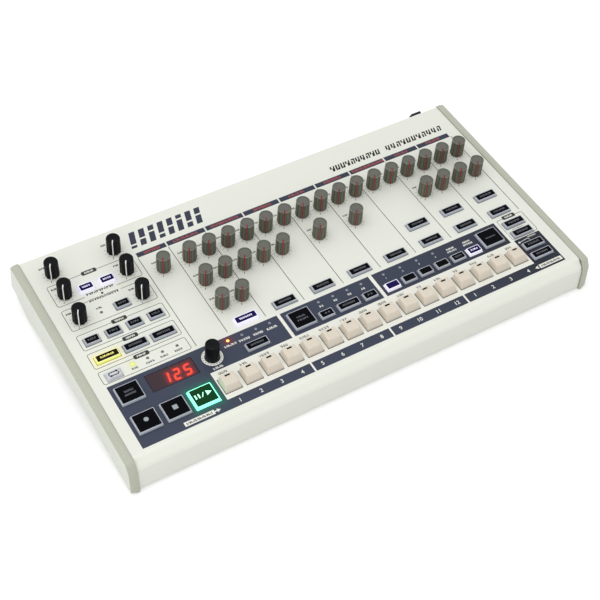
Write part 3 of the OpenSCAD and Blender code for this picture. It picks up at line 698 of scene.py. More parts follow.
for places, cap, finishes, slot in (
        (levelPlaces, levelCap(), "knobSide pointerRed knobTop", "knob_grey"),
        (masterPlaces, masterCap(), "knobBlack pointerWhite", "knob_black"),
        ({"tempo_encoder": encoderPlace}, encoderCap(), "knobBlack", "knob_black")):
    for node, (x, y) in places.items():
        buildPiece(f"{node}_cap", [moved(part, x, y) for part in cap], finishes, node, [node])
print("knobs done:", len(levelPlaces) + len(masterPlaces) + 1)


# Step keys

# painted shade: an edge share this low darkens what is down inside an opening almost to black
paintedShadeInside = -0.95  # edge share of what is down inside an opening
key = {
    "width": 16.5, "depth": 17.0, "height": 7.0, "frontIn": 4.4, "sideIn": 1.9, "rearIn": 1.0,
    "round": 0.9, "rim": 0.9, "rimLow": -3.4, "rimTop": -1.6, "plungerLow": -7.0, "plungerR": 2.0,
    "lens": (4.9, 1.6), "lensY": 5.1, "lensProud": 0.12,
}


def keyCap():
    # rings up the draft of the four sides, over a rounded edge and across the top
    k = key
    top, r = k["height"], k["round"]
    # height, inset, edge share; below 0 the share paints shade, down in the opening and at the foot of the
    # sides
    rows = [(k["rimLow"], -k["rim"], paintedShadeInside), (k["rimTop"], -k["rim"], paintedShadeInside), (k["rimTop"], 0, paintedShadeInside),
            (-0.1, 0, -0.85), (0.5, 0, -0.35), (1.8, 0, -0.08), (top - r - 0.6, 0, 0)]
    rows += [(top - r + r * math.sin(a), r * (1 - math.cos(a)), math.sin(2 * a))
             for a in np.linspace(0.05, math.pi / 2, 6)]
    rows += [(top - 0.06, 2.6, 0), (top - 0.08, 4.4, 0)]
    rings = []
    for w, inset, _ in rows:
        t = max(w, 0) / top
        width = k["width"] - 2 * k["sideIn"] * t - 2 * inset
        depth = k["depth"] - (k["frontIn"] + k["rearIn"]) * t - 2 * inset
        ring = roundedRing(width, depth, max(1.0 - 0.3 * inset, 0.3))
        rings.append(atHeight(ring + [0, (k["frontIn"] - k["rearIn"]) * t / 2], w))
    return [loft(rings, 0, shareOf(rows)),
            plates([(0, k["lensY"])], [k["lens"]], top - 0.4, top + k["lensProud"], finish=1),
            disc(0, 0, k["plungerR"], k["plungerLow"], k["rimLow"] + 0.1)]


for first in range(0, 16, 4):
    node = f"step_keys_{first + 1}_{first + 4}"
    parts = [moved(part, *place) for place in keyPlaces[first:first + 4] for part in keyCap()]
    buildPiece(f"{node}_caps", parts, "keyPlastic keyLens", node, [node])
print("step keys done")


# Buttons

button = {
    "sizes": {"small": (12.0, 6.4), "wide": (20.3, 6.4), "big": (20.2, 18.0)},
    "skirt": 1.5, "lip": 0.8, "height": 2.9, "capThick": 0.8, "rim": 0.6, "rimLow": -3.2, "rimTop": -1.6,
    "plungerR": 1.6, "plungerLow": -8.0, "markProud": 0.05,
}
voiceX = [164.3 + 41.08 * k for k in range(8)]
functionY = 67.2


def spot(x, y, kind="small", mark="word", lit=None):
    # a button's place, the kind of its cap, what is on the cap and its lit colour
    return x, y, kind, mark, lit


buttons = {
    "voice_buttons": [spot(voiceX[0], 98.2, "wide", lit="white")]
    + [spot(x, 98.2, "wide") for x in voiceX[1:]] + [spot(x, 122.0, "wide") for x in voiceX[5:]],
    "left_buttons": [spot(52.2, 199.5, lit="white"), spot(73.3, 199.5, lit="white"), spot(73.0, 166.5)]
    + [spot(x, 141.0) for x in (31.2, 52.3, 73.4, 94.5)]
    + [spot(35.4, 118.0, "wide", lit="yellow"), spot(63.0, 118.0, "wide"), spot(90.6, 118.0, "wide"),
       spot(31.8, 97.0, mark="loop")],
    "function_buttons": [
        spot(159.0, functionY, "wide"), spot(209.0, 73.3, "big", "twoWords"),
        spot(232.2, functionY, mark="rewind"), spot(256.0, functionY, "wide"),
        spot(279.6, functionY, mark="forward"), spot(304.7, functionY, mark=None, lit="white")]
    + [spot(x, functionY, mark=None) for x in (323.55, 342.4, 361.25)]
    + [spot(380.1, functionY), spot(398.95, functionY, lit="white"), spot(422.3, 73.3, "big", "longWord")]
    + [spot(455.6, y, "wide") for y in (79.0, 65.2, 47.2, 33.5)],
    "transport_buttons": [spot(35.2, 72.7, "big", "twoWords"), spot(35.2, 39.3, "big", "record"),
                          spot(62.6, 39.3, "big", "stop"), spot(90.0, 39.3, "big", "play", "mint")],
}


def buttonRing(kind, out, radius, w):
    # the cap's outline moved out by a margin, at a height
    width, depth = button["sizes"][kind]
    return atHeight(roundedRing(width + 2 * out, depth + 2 * out, radius, 3), w)


def buttonSkirt(kind):
    # rings from the retaining rim up the sloping skirt and in under the cap
    b = button
    s, lip, top = b["skirt"], b["lip"], b["height"] - 0.3
    # height, margin, corner radius, edge share; below 0 the share paints shade, down in the opening, at the
    # foot of the skirt and in under the cap
    rows = [(b["rimLow"], s + b["rim"], 0.8, paintedShadeInside), (b["rimTop"], s + b["rim"], 0.8, paintedShadeInside),
            (b["rimTop"], s, 0.8, paintedShadeInside), (-0.1, s, 0.8, -0.8), (0.35, s - 0.1, 0.8, -0.3),
            (1.0, s - 0.28, 0.8, 0), (top - 0.35, lip + 0.1, 0.8, 0.1), (top - 0.12, lip - 0.02, 0.7, 0.7),
            (top, lip - 0.16, 0.6, 1), (top, 0.12, 0.5, 0.6), (top - 0.15, 0.04, 0.4, -0.5),
            (top - 0.6, 0.02, 0.4, -0.9), (top - 0.6, -1.0, 0.3, -0.9)]
    return [loft([buttonRing(kind, out, r, w) for w, out, r, _ in rows], 0, shareOf(rows)),
            disc(0, 0, b["plungerR"], b["plungerLow"], b["rimLow"] + 0.1, sides=24)]


def buttonCap(kind):
    # a shallow cap with a small rounded edge
    low, top = button["height"] - button["capThick"], button["height"]
    rows = [(low, 0.0, 0), (top - 0.22, 0.0, 0), (top - 0.07, 0.05, 0.7), (top, 0.2, 1), (top, 0.9, 0)]
    return [loft([buttonRing(kind, -inset, 0.5, w) for w, inset, _ in rows], 0, shareOf(rows))]


markKinds = np.array([
    # height and lift of the near stroke, of the block and of the far stroke, as shares of the mark's height
    [1.0, 0.0, 0.42, 0.29, 0.7, -0.1], [1.0, 0.0, 0.32, -0.34, 0.9, 0.05], [1.0, 0.0, 0.34, 0.0, 0.45, 0.2],
    [0.6, -0.2, 0.24, 0.38, 1.0, 0.0], [1.0, 0.0, 0.5, 0.25, 0.5, -0.25], [0.75, 0.12, 0.42, -0.29, 0.6, 0.2],
    [1.0, 0.0, 0.3, -0.1, 0.35, -0.32], [0.5, 0.25, 0.6, -0.2, 0.9, 0.05]])
markColumns = ((0, 0.15, 0.26), (2, 0.42, 0.36), (4, 0.6, 0.22))  # column in the kinds, place and width


def wordMarks(x, y, width, height):
    # strokes and blocks in place of letters, [centre x, centre y, width, height] each; which kinds
    # follow each other comes from the row's place
    count = max(1, int(round(width / (0.88 * height))))
    k = np.arange(count)
    seed = int(7.3 * x + 3.1 * y)
    shares = markKinds[(3 * k * k + k * seed + seed) % len(markKinds)]
    left = x - width / 2 + k * width / count
    return np.concatenate([
        np.stack([left + at * height, y + shares[:, n + 1] * height, np.full(count, wide * height),
                  shares[:, n] * height], -1) for n, at, wide in markColumns])


def wordChunk(words, low, high, lean=0.0):
    # words (x, y, width, height) as one chunk of stroke boxes
    marks = np.concatenate([wordMarks(*word) for word in words])
    return plates(marks[:, :2], marks[:, 2:], low, high, lean=lean)


markLevels = button["height"] - button["markProud"], button["height"] + button["markProud"]
arrows = [np.array([(d - 1.1, -1.2), (d + 1.1, 0), (d - 1.1, 1.2)]) for d in (-1.7, 1.5)]
loopHead = np.array([(2.6, 3.1), (5.0, 1.8), (2.6, 0.5)])
loopLines = [[(-4.5, -0.7), (-4.5, 1.8), (3.0, 1.8)], [(4.5, 0.7), (4.5, -1.8), (-3.0, -1.8)]]
signs = {
    "record": [disc(0, 0.9, 2.2, *markLevels)],
    "stop": [plates([(0, 0.5)], [(4.6, 4.7)], *markLevels)],
    "play": [plates([(-7.5, 0.6), (-4.3, 0.6)], [(1.5, 4.6)], *markLevels),
             plates([(-0.6, 0.6)], [(1.0, 4.6)], *markLevels, lean=0.55),
             prism([(2.9, -1.9), (8.1, 0.8), (2.9, 3.5)], *markLevels)],
    "rewind": [prism(arrow * [-1, 1], *markLevels) for arrow in arrows],
    "forward": [prism(arrow, *markLevels) for arrow in arrows],
    "loop": [stripe(roundedPath(line, 1.2), 0.9, *markLevels) for line in loopLines]
    + [prism(s * loopHead, *markLevels) for s in (1, -1)],
}
capWords = {
    # height over the cap's middle, width, letter height
    "small": [(0, 8.0, 2.1)], "wide": [(0, 13.4, 2.1)], "longWord": [(-0.4, 11.5, 1.5)],
    "twoWords": [(1.7, 9.0, 2.1), (-2.1, 11.0, 2.1)],
}


def capMarks(x, y, kind, mark):
    # what is printed on a cap, a little proud of it
    rows = capWords.get(kind if mark == "word" else mark)
    if rows:
        return [wordChunk([(x, y + up, width, height) for up, width, height in rows], *markLevels)]
    return [moved(part, x, y) for part in signs.get(mark, [])]


buttonFinishes = {
    # skirt, cap and mark, by the sign on the cap or else by the lit colour
    "white": ("skirtWhite", "capViolet", "markBright"), "mint": ("skirtMint", "capGreen", "markMint"),
    "yellow": ("skirtYellow", "capAmber", "markYellow"), None: ("skirt", "capBlack", "markDim"),
    "loop": ("capPale", "capPale", "capBlack"), "record": ("skirt", "capBlack", "markPale"),
    "stop": ("skirt", "capBlack", "markPale"),
}


for node, places in buttons.items():
    layers = {}, {}, {}
    for x, y, kind, mark, lit in places:
        names = buttonFinishes.get(mark or lit, buttonFinishes[lit])
        skirt, cap = ([moved(part, x, y) for part in shape(kind)] for shape in (buttonSkirt, buttonCap))
        for layer, name, parts in zip(layers, names, (skirt, cap, capMarks(x, y, kind, mark))):
            if parts:
                layer.setdefault(name, []).extend(parts)
    for layer, layerName, slot, replaced in zip(layers, ("skirts", "caps", "marks"), (
            "button_grey", "black_plastic", "black_plastic"), ([node], [], [])):
        parts = [(p, f, n, e) for n, same in enumerate(layer.values()) for p, f, _, e in same]
        buildPiece(f"{node}_{layerName}", parts, " ".join(layer), node, replaced)
allButtons = [entry for places in buttons.values() for entry in places]
print("buttons done:", len(allButtons))


# Status lamps

lamp = {"r": 1.4, "low": -11.0, "rise": 0.55, "sides": 24}
lampPlaces = [(x, 83.3) for x in (137.5, 152, 166.4, 180.8, 232.8, 248.4, 264, 279.6, 304.7, 323.6,
                                  342.4, 361.3)]
lampPlaces += [(x, 100.2) for x in (51.4, 66, 80.6, 95.2)] + [(52.3, 166.8)]
lampFinish = [1] + [0] * 11 + [2] + [3] * 4
domeRows = [(lamp["r"], lamp["low"])] + [(lamp["r"] * math.cos(a), lamp["rise"] * math.sin(a))
                                         for a in np.linspace(0, 1.45, 6)]
dome = [atHeight(polar(r, fullTurn(lamp["sides"])), w) for r, w in domeRows]
lamps = [moved(loft(dome, number), *place) for place, number in zip(lampPlaces, lampFinish)]
buildPiece("status_lamps", lamps, "lensClear lensOrange lensYellow lensDark", "chassis", ["leds"])


# Display: a pane with a red glow round its digits, and the lit segments just above it

display = {
    "x": 76.9, "y": 73.6, "width": 46.4, "depth": 19.8, "edge": 0.1, "flange": 2.0, "frame": 0.8,
    "digitHeight": 11.8, "digitWidth": 6.3, "digitX": [70.5, 80.9, 91.4], "digitY": 72.2,
    "segment": 1.35, "lean": 0.17, "text": "125", "glow": "#A81E12", "glowReach": 1.5, "cells": (120, 54),
}
segmentsOf = {"1": "bc", "2": "abged", "5": "afgcd"}


def segmentPlaces():
    # centre and size of every lit bar, leaned about the digit's middle
    h, w, t = display["digitHeight"], display["digitWidth"], display["segment"]
    across, upright = (w - t - 0.2, t), (t, (h - t) / 2 - 0.2)
    right, high, half = (w - t) / 2, (h - t) / 2, (h - t) / 4
    bars = {"a": (0, high, across), "g": (0, 0, across), "d": (0, -high, across), "b": (right, half, upright),
            "c": (right, -half, upright), "f": (-right, half, upright), "e": (-right, -half, upright)}
    return np.array([(x + bars[s][0] + display["lean"] * bars[s][1], display["digitY"] + bars[s][1],
                      *bars[s][2])
                     for x, digit in zip(display["digitX"], display["text"]) for s in segmentsOf[digit]])


def segmentBars(segments, low, high):
    # every bar is a hexagon: the long sides run to half a thickness from its pointed ends
    along, t = segments[:, 2:].max(1) / 2, segments[:, 2:].min(1) / 2
    u = np.stack([along, along - t, t - along, -along, t - along, along - t], -1)
    v = t[:, None] * [0, 1, 1, 0, -1, -1]
    flat = (segments[:, 2] > segments[:, 3])[:, None]
    x, y = np.where(flat, u, -v), np.where(flat, v, u)
    corners = np.stack([segments[:, :1] + x + display["lean"] * y, segments[:, 1:2] + y], -1)
    start, j = 12 * np.arange(len(segments))[:, None, None], np.arange(6)
    caps = (np.stack([j[::-1], j + 6])[None] + start).reshape(-1, 6)
    sides = (np.stack([j, (j + 1) % 6, (j + 1) % 6 + 6, j + 6], -1)[None] + start).reshape(-1, 4)
    return chunk(twoLevels(corners, low, high), [caps, sides])


def makeDisplay():
    segments = segmentPlaces()
    d, sheet = display, case["sheet"]
    outer, inner = (rectangle(d["x"], d["y"], d["width"] - 2 * inset, d["depth"] - 2 * inset)
                    for inset in (d["edge"], d["edge"] + d["frame"]))
    xs, ys = (np.linspace(outer[i], outer[i + 2], d["cells"][i] + 1) for i in (0, 1))
    points, faces, *_ = slab(xs, ys, np.ones(d["cells"], bool), -sheet, -0.02)
    # distance from each point to the nearest lit bar, fading out over a few millimetres
    away = np.abs(points[:, None, :2] - segments[None, :, :2]) - segments[None, :, 2:] / 2
    distance = np.linalg.norm(np.maximum(away, 0), axis=-1).min(1)
    pane = points, faces, 0, np.exp(-distance / d["glowReach"])
    flange = plates([(d["x"], d["y"])], [(d["width"] + 2 * d["flange"], d["depth"] + 2 * d["flange"])],
                    -sheet - 1, -sheet)
    buildPiece("display_pane", [pane, flange, printedArea(outer, inner, -0.05, 0.02, 1)],
               "smokedPane paneFrame", "chassis", ["display_window"])
    buildPiece("display_digits", [segmentBars(segments, -0.02, 0.04)], "digitRed", "chassis")


# the digits' light spreads round them in the pane by the edge attribute
paneTree = finish["smokedPane"].node_tree
setSockets(paneTree, paneTree.nodes["Principled BSDF"], {
    "Emission Color": mixColour(edgeShare(paneTree), black, paint(display["glow"])),
    "Emission Strength": 1.0})
makeDisplay()
print("lamps and display done")


# Printing on the panel: three layers, each from a little inside the one below

flush, over, top = (-0.02, 0.06), (0.04, 0.12), (0.1, 0.16)
marks = {
    "tickR": 8.5, "tick": (1.4, 0.3), "boldTickR": 8.9, "boldTick": (2.2, 0.55), "boxLine": 0.5,
    "boxRound": 2.0, "divider": 0.6, "seam": 0.35, "pill": (15.0, 4.8, 1.4), "ringR": (7.3, 9.9),
    "dotRingR": 8.6, "dotR": 0.4, "dots": 20, "stripGap": 0.9, "titleGap": 0.8,
}
numeral = {"capHeight": 0.72, "bolder": 0.012, "halfThick": 0.04, "curveSteps": 4, "weld": 2e-4}
encoderOpening = (8.4, 8.4)


def openingRects(places, sizes):
    # the cut-out round each place, with its running gap
    gap = 2 * case["openingGap"]
    return [rectangle(x, y, w + gap, d + gap) for (x, y), (w, d) in zip(places, sizes)]


cuts = openingRects([entry[:2] for entry in allButtons], [
    [size + 2 * button["skirt"] for size in button["sizes"][entry[2]]] for entry in allButtons])
cuts += openingRects(keyPlaces, [(key["width"], key["depth"])] * 16)
cuts += openingRects([encoderPlace], [encoderOpening])
cuts.append(rectangle(display["x"], display["y"], display["width"], display["depth"]))


def splitBars(left, right, front, rear, gaps, gapHalf):
    # a bar (x0, y0, x1, y1) between each gap and the next
    edges = [left] + [edge for x in gaps for edge in (x - gapHalf, x + gapHalf)] + [right]
    return [(a, front, b, rear) for a, b in zip(edges[::2], edges[1::2])]


plate = {"left": 106.5, "right": 441.4, "front": 26.5, "rear": 58.6}  # white plate round the keys
stripFront, stripGaps = 16.2, [190.3, 274.2, 357.4]
slateAreas = splitBars(20.3, 471.0, stripFront, plate["front"], stripGaps, marks["stripGap"])
slateAreas += [(20.3, stripFront, 106.5, 88.0), (106.5, 58.6, 190.7, 88.0), (193.9, 58.8, 290.2, 88.0),
               (293.8, 58.8, 437.6, 88.2), (441.4, stripFront, 471.6, 59.2)]
whiteAreas = [(plate["left"], plate["front"], plate["right"], plate["rear"])]
whiteAreas += [(a, 58.6, b, 88.2) for a, b in ((190.7, 193.9), (290.2, 293.8), (437.6, 441.4))]
whiteAreas += [(x - marks["stripGap"], stripFront, x + marks["stripGap"], plate["front"])
               for x in stripGaps]
titleBars = splitBars(110.6, 470.5, 210.8, 216.6,
                      [141.8, 183.6, 225.4, 266.0, 307.7, 348.4, 390.3, 431.0], marks["titleGap"])
titleWords = [(118, 135), (149, 175.5), (189.6, 220), (237, 257), (277, 295), (318, 338), (351.7, 389.7),
              (403, 419), (442, 460)]
dividers = [142.0, 181.8, 223.0, 265.8, 307.5, 348.0, 389.4, 431.0]
pills = [(62.5, 216.7), (62.7, 151.6), (62.9, 129.0), (62.7, 106.0), (456.5, 88.9)]
boxes = [
    # left, right, front, rear, the gap in the rear side and the one in the front side
    (20.0, 105.3, 189.8, 216.6, (55.0, 70.0), (46.3, 78.7)), (20.0, 105.3, 158.0, 184.0, (46.8, 79.8)),
    (20.0, 105.3, 133.0, 151.4, (55.2, 70.2)), (20.0, 105.3, 110.0, 128.2, (55.4, 70.4)),
    (20.0, 105.3, 91.0, 105.6, (55.2, 70.2)), (441.3, 472.0, 61.0, 88.4, (449.0, 464.0)),
]


def boxRuns(left, right, front, rear, rearGap, frontGap=None):
    # a rounded frame in four runs that leave the gaps (x0, x1) open
    middle = (front + rear) / 2
    runs = []
    for y, (first, last) in ((rear, rearGap), (front, frontGap or [(left + right) / 2] * 2)):
        runs += [[(left, middle), (left, y), (first, y)], [(last, y), (right, y), (right, middle)]]
    return [roundedPath(run, marks["boxRound"]) for run in runs]


def knobTicks():
    # eleven ticks round each knob over its turn, the first longer and under the resting pointer
    spots = np.array(list(levelPlaces.values()) + list(masterPlaces.values()))
    angle = np.radians(knob["restDeg"] - np.linspace(0, knob["turnDeg"], 11))
    fine = (spots[:, None] + polar(marks["tickR"], angle[1:])).reshape(-1, 2)
    bold = spots + polar(marks["boldTickR"], angle[0])
    return (plates(fine, marks["tick"], *flush, np.tile(np.degrees(angle[1:]), len(spots))),
            plates(bold, marks["boldTick"], *flush, knob["restDeg"]))


def numeralChunk(text, x, y, height):
    # a number set by the built-in font, extruded, merged by place and moved on to the panel
    curve = bpy.data.curves.new("numeral", "FONT")
    curve.body, curve.align_x, curve.align_y = text, "CENTER", "CENTER"
    curve.size, curve.offset = height / numeral["capHeight"], numeral["bolder"] * height
    curve.extrude, curve.resolution_u = numeral["halfThick"], numeral["curveSteps"]
    shape = bpy.data.objects.new("numeral", curve)
    scene.collection.objects.link(shape)
    bpy.context.view_layer.update()
    mesh = bpy.data.meshes.new_from_object(shape.evaluated_get(bpy.context.evaluated_depsgraph_get()))
    joined = bmesh.new()
    joined.from_mesh(mesh)
    bmesh.ops.remove_doubles(joined, verts=joined.verts, dist=numeral["weld"])
    bmesh.ops.dissolve_degenerate(joined, edges=joined.edges, dist=numeral["weld"])
    bmesh.ops.recalc_face_normals(joined, faces=joined.faces)
    joined.to_mesh(mesh)
    joined.free()
    points, loops, totals = (np.zeros(count, kind) for count, kind in (
        (len(mesh.vertices) * 3, float), (len(mesh.loops), int), (len(mesh.polygons), int)))
    mesh.vertices.foreach_get("co", points)
    mesh.loops.foreach_get("vertex_index", loops)
    mesh.polygons.foreach_get("loop_total", totals)
    bpy.data.objects.remove(shape)
    bpy.data.meshes.remove(mesh)
    bpy.data.curves.remove(curve)
    starts = np.cumsum(totals) - totals
    sets = [loops[starts[totals == n][:, None] + np.arange(n)[None]] for n in np.unique(totals)]
    return chunk(points.reshape(-1, 3) + [x, y, (flush[1] + over[1]) / 2], sets)


keyWordWidths = [8.4, 7.6, 10.6, 7.4, 9.6, 10.6, 8.2, 8.6, 8.8, 8.4, 5.2, 7.6, 5.2, 8.2, 7.4, 7.0]
darkWords = [(x - 4.6, y + 10.9, 5.4, 2.0) for x, y in levelPlaces.values()]
darkWords += [(x - 6.2, y + 11.2, 5.6, 2.2) for x, y in masterPlaces.values()]
darkWords += [(x + 0.3, 54.5, width, 2.7) for (x, _), width in zip(keyPlaces, keyWordWidths)]
darkWords += [(62.5, 191.6, 27.5, 2.8), (62.5, 183.6, 29.5, 2.8), (52.6, 172.5, 5.6, 2.2)]
darkWords += [(x, 95.3, width, 2.2) for x, width in ((51.6, 6.2), (66.3, 8.6), (80.2, 7.6), (94.2, 8.0))]
whiteWords = [(137.6, 78.0, 12.4, 2.4), (151.8, 77.8, 11.4, 2.4), (166.0, 78.0, 10.0, 2.4),
              (180.2, 77.6, 10.6, 2.4)]
whiteWords += [(x, 78.0, 4.4, 2.2) for x in (233.2, 248.4, 263.8)]
whiteWords += [(278.7, 77.6, 4.6, 2.2), (116.2, 61.4, 10.0, 2.4), (380.1, 80.6, 8.6, 2.1),
               (380.1, 77.4, 10.8, 2.1), (399.0, 80.8, 8.6, 2.1), (399.0, 77.6, 10.8, 2.1),
               (461.5, 57.2, 9.6, 1.8)]
whiteWords += [(x, y, 9.0, 2.2) for x, y in pills]
fineTicks, boldTicks = knobTicks()


def seamShadowStrip(x):
    # a dark strip of painted shadow along the gap between panel and cheek: the sheet's side view from the
    # rear edge over the front fold, a hair proud
    corners = [(1.7, -34.1, 0.1), (3.3, -11.8, 6), (5.0, -6.7, 6), (11.5, 0, 5), (254.0, 0, 0.1),
               (254.0, -0.6, 0.1), (11.5, -0.6, 4.4), (5.7, -6.9, 5.4), (4.0, -12.0, 5.4), (2.4, -34.1, 0.1)]
    outline = roundedOutline(np.array(corners) + [0, 0.05, 0])
    return loft([sideView(x + side * marks["seam"] / 2, outline) for side in (1, -1)])


titleBlock = {"x0": 111.0, "pitch": 10.0, "bars": 8, "y": 233.2, "height": 20.0, "lean": 0.28, "gap": 2.0}


def titleMarks():
    # leaning bars in two parts each, split at different heights
    b = titleBlock
    k = np.arange(b["bars"])
    split = b["height"] * (0.2 + 0.6 * (k * 3 % 8) / 8)
    tall = np.stack([split, b["height"] - split], -1) - b["gap"] / 2
    up = [-1, 1] * (b["height"] - tall) / 2
    x = b["x0"] + b["pitch"] * (k + 0.5)[:, None] + b["lean"] * up
    centres = np.stack([x, b["y"] + up], -1).reshape(-1, 2)
    sizes = np.stack([np.full(tall.size, b["pitch"] * 0.6), tall.ravel()], -1)
    return plates(centres, sizes, *flush, lean=b["lean"])


paintedLightAndShade = [
    # painted light and shade: finish, centre, half sizes, reach, painted colour and painted glow
    # painted shade: the slate darker towards its right end
    ("printSlate", (464.0, 60.0, 0.0), (16.0, 60.0, 6.0), 80.0, "#252A35", "#000000"),
    # painted light round the lit play button and round the lit orange lamp
    ("printSlate", (90.0, 39.3, 0.0), (11.6, 10.5, 6.0), 3.4, "#1E5E50", "#0C3A2C"),
    ("printSlate", (137.5, 83.3, 0.0), (1.2, 1.2, 6.0), 2.2, "#7A3434", "#401410"),
    # the fold at the front: a painted highlight over the bend, painted shade from the fold line down
    ("panelPaint", (246.5, 6.0, -4.4), (260.0, 6.0, 5.4), 1.6, "#EEF0E5", "#000000"),
    ("panelPaint", (246.5, 0.0, -24.2), (260.0, 9.0, 14.6), 0.35, "#E6E8DE", "#000000"),
    # painted light round the lit yellow button and the lit yellow lamp
    ("panelPaint", (35.4, 118.0, 0.0), (11.7, 4.8, 6.0), 2.0, "#FBEFC0", "#241C08"),
    ("panelPaint", (51.4, 100.2, 0.0), (1.3, 1.3, 6.0), 1.6, "#DDE58C", "#1A1C04"),
]
# painted light round the three white-lit buttons
paintedLightAndShade += [("panelPaint", (x, y, 0.0), (halfWidth, 4.6, 6.0), 1.5, "#EEEBF8", "#0A0910")
           for x, y, halfWidth in ((52.2, 199.5, 7.4), (73.3, 199.5, 7.4), (164.3, 98.2, 11.5))]
for entry in paintedLightAndShade:
    paintLightAndShade(*entry)

uprights = [(x, 92.0, 210.0) for x in dividers] + [(110.2, 91.5, 210.0), (472.0, 92.0, 211.0)]
frameLines = [stripe(run, marks["boxLine"], *flush) for box in boxes for run in boxRuns(*box)]
frameLines += [stripe([(x, front), (x, rear)], marks["divider"], *flush) for x, front, rear in uprights]
redWords = [((a + b) / 2, 213.7, b - a, 2.9) for a, b in titleWords]
seamX = case["cheekWidth"] + 0.2
numerals = [numeralChunk(str(i % 12 + 1), 116.4 + 20.94 * i, 21.1, 4.2) for i in range(16)]
numerals += [numeralChunk(str(i + 1), 304.7 + 18.85 * i, 78.2, 2.0) for i in range(4)]
dots = encoderPlace + polar(marks["dotRingR"], fullTurn(marks["dots"]))
prints = {
    # what is printed and its finish
    "print_slate": ([printedArea(slateAreas, cuts, *flush)], "printSlate"),
    "print_title": ([printedArea(titleBars, [], *flush), titleMarks()], "printTitle"),
    "print_white_plate": ([printedArea(whiteAreas, cuts, *flush)], "printWhite"),
    "print_dark": ([
        wordChunk(darkWords, *flush), disc(62.6, 187.4, 1.2, *flush),
        stripe([(455.6, 72.4), (455.6, 71.2)], 0.6, *flush),
        stripe([(449.0, 72.0), (462.0, 72.0)], 0.4, *flush), boldTicks,
        wordChunk([(364.0, 226.6, 60.0, 7.0), (436.0, 226.6, 70.0, 7.0)], *flush, lean=0.25)], "printDark"),
    "print_lines": (frameLines + [fineTicks], "printLine"),
    "print_pills": ([prism(roundedRing(*marks["pill"]) + place, *flush) for place in pills], "printPill"),
    # painted shadow in the gaps beside the cheeks
    "panel_seams": ([seamShadowStrip(seamX), seamShadowStrip(case["width"] - seamX)], "seamPaintedShadow"),
    "print_red": ([wordChunk(redWords, *over)], "printRed"),
    "print_white": ([
        wordChunk(whiteWords, *over), annulus(*encoderPlace, *marks["ringR"], *over),
        plates([(76.4, 20.9), (456.8, 20.6)], [(29.0, 4.6), (26.6, 4.6)], *over),
        plates([(92.2, 20.9)], [(3.0, 1.2)], *over),
        prism([(93.4, 18.9), (96.8, 20.9), (93.4, 22.9)], *over),
        prism([(442.0, 18.5), (438.2, 20.6), (442.0, 22.7)], *over), disc(445.0, 55.0, 1.1, *over),
        stripe(roundedPath([(445.0, 55.0), (455.5, 56.2), (456.8, 53.8)], 0.6), 0.5, *over)] + numerals,
        "printWhite"),
    "print_tag_marks": ([wordChunk([(76.4, 20.9, 25.0, 2.4), (456.8, 20.6, 22.6, 2.4)], *top)]
                        + [disc(x, y, marks["dotR"], *top, sides=10) for x, y in dots], "printDark"),
}
for name, (parts, finishName) in prints.items():
    buildPiece(name, parts, finishName, "chassis")
print("printing done")


# Rear wall: legends over the sockets, numbers under the jacks and the round sockets' contacts

rear = {
    "wall": 251.7, "socketZ": 27.0, "legendZ": 37.5, "numberZ": 16.4, "contactR": 3.6, "contactDepth": 8.0,
    "jackX": [238 - 19.5 * k for k in range(12)], "miniX": [296 - 12 * k for k in range(4)],
    "roundX": [364 - 24 * k for k in range(3)], "powerX": [392, 436],
}


def rearPoint(points):
    # seen from behind: u from the right cheek's outer face, v up from the table, w out of the wall
    u, v, w = np.moveaxis(np.asarray(points, float), -1, 0)
    return tablePoint(np.stack([case["width"] - u, rear["wall"] + w, v], -1))


def rearU(x):
    return case["width"] - x


legendRows = [
    # sockets, height, width, letter height
    ("jackX", rear["legendZ"], 9.0, 1.9), ("miniX", rear["legendZ"], 7.0, 1.7),
    ("roundX", rear["legendZ"] + 0.7, 9.5, 1.9), ("powerX", rear["legendZ"], 7.5, 1.9),
    ("powerX", rear["numberZ"] + 1.6, 7.0, 1.5),
]
rearParts = [wordChunk([(rearU(x), *row) for sockets, *row in legendRows for x in rear[sockets]], *flush)]
rearParts += [moved(numeralChunk(str(k + 1), rearU(x), rear["numberZ"], 2.6), 0, 0, flush[0] - flush[1])
              for k, x in enumerate(rear["jackX"])]
for xs in (rear["jackX"], rear["miniX"], rear["roundX"]):
    middle = (rearU(min(xs)) + rearU(max(xs))) / 2
    rearParts.append(plates([(middle, 13.6)], [(max(xs) - min(xs) + 12.0, 0.4)], *flush))
buildPiece("rear_legends", rearParts, "printWhite", "chassis", place=rearPoint)

sockets = np.array([(rearU(x), rear["socketZ"]) for x in rear["roundX"]])
contactPlaces = sockets[:, None] + polar(rear["contactR"], np.radians([0, 45, 90, 135, 180]))
contacts = [annulus(x, y, 0.45, 0.95, -rear["contactDepth"] - 0.05, -rear["contactDepth"] + 0.25, sides=16)
            for x, y in contactPlaces.reshape(-1, 2)]
buildPiece("round_socket_contacts", contacts, "socketMetal", "chassis", place=rearPoint)
print("rear wall done")


# Camera, floor and light

camera = {"place": (-0.45127, -0.71347, 0.91499), "turnDeg": (42.3095, -1.3601, -30.6874), "lens": 76.56}
light = {"worldStrength": 0.785, "floorGlow": 0.3}
softboxes = {
    # place, aim, width, height, power in watts
    "overhead": ((-0.5, 0.1, 1.7), (0, 0, 0), 1.4, 1.2, 7.0),
    "frontLeft": ((-1.2, -0.9, 1.0), (0, 0, 0.03), 0.9, 0.9, 2.2),
}


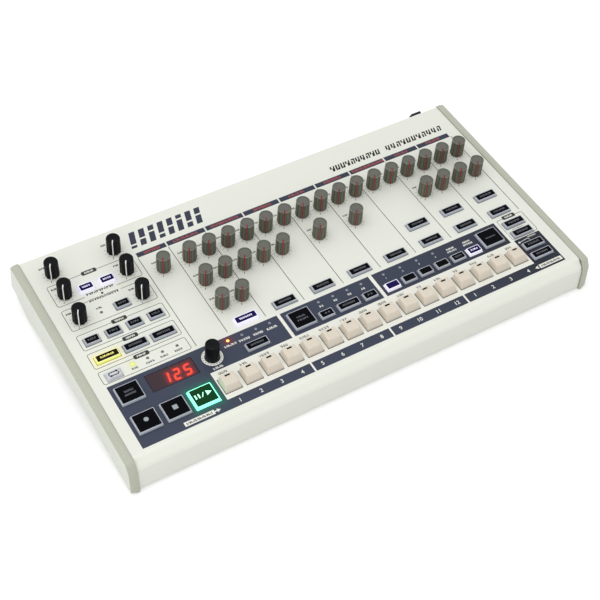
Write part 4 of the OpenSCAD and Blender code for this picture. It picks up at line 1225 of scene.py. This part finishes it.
def addToScene(name, data, place, turn):
    thing = bpy.data.objects.new(name, data)
    thing.location, thing.rotation_euler = place, turn
    scene.collection.objects.link(thing)
    return thing


cameraData = bpy.data.cameras.new("studioCamera")
cameraData.lens, cameraData.sensor_width, cameraData.clip_end = camera["lens"], 36.0, 20.0
scene.camera = addToScene("studioCamera", cameraData, camera["place"],
                          [math.radians(a) for a in camera["turnDeg"]])
for name, (place, aim, width, height, power) in softboxes.items():
    lampData = bpy.data.lights.new(name, "AREA")
    lampData.shape, lampData.size, lampData.size_y, lampData.energy = "RECTANGLE", width, height, power
    x, y, z = (a - p for a, p in zip(aim, place))
    addToScene(name, lampData, place, (math.atan2(math.hypot(x, y), -z), 0, math.atan2(x, -y) + math.pi))


def seenDirectly(tree):
    # 1 for camera, glossy and transmission rays
    path = addNode(tree, "LightPath").outputs
    both = mathNode("MAXIMUM", path["Is Camera Ray"], path["Is Glossy Ray"])
    return mathNode("MAXIMUM", both, path["Is Transmission Ray"])


def makeWorld():
    scene.world = bpy.data.worlds.new("studio")
    scene.world.use_nodes = True
    tree = scene.world.node_tree
    ambient = light["worldStrength"]
    strength = add(multiply(seenDirectly(tree), 1 - ambient), ambient)
    setSockets(tree, tree.nodes["Background"], {"Color": (1, 1, 1, 1), "Strength": strength})


def makeFloor():
    # a wide closed slab whose own light shows only to rays that see it directly
    material = bpy.data.materials.new("floorPale")
    material.use_nodes = True
    tree = material.node_tree
    setSockets(tree, tree.nodes["Principled BSDF"], {
        "Base Color": (0.86, 0.86, 0.86, 1), "Roughness": 0.9, "Specular IOR Level": 0.0,
        "Emission Color": (1, 1, 1, 1),
        "Emission Strength": multiply(seenDirectly(tree), light["floorGlow"])})
    points, faceSets, *_ = plates([(0, 0)], [(12000, 12000)], -20, 0)
    mesh = bpy.data.meshes.new("floor")
    mesh.from_pydata((points / 1000).tolist(), [], faceSets[0].tolist())
    mesh.materials.append(material)
    floor = addToScene("floor", mesh, (0, 0, 0), (0, 0, 0))


makeWorld()
makeFloor()
print("stage done")
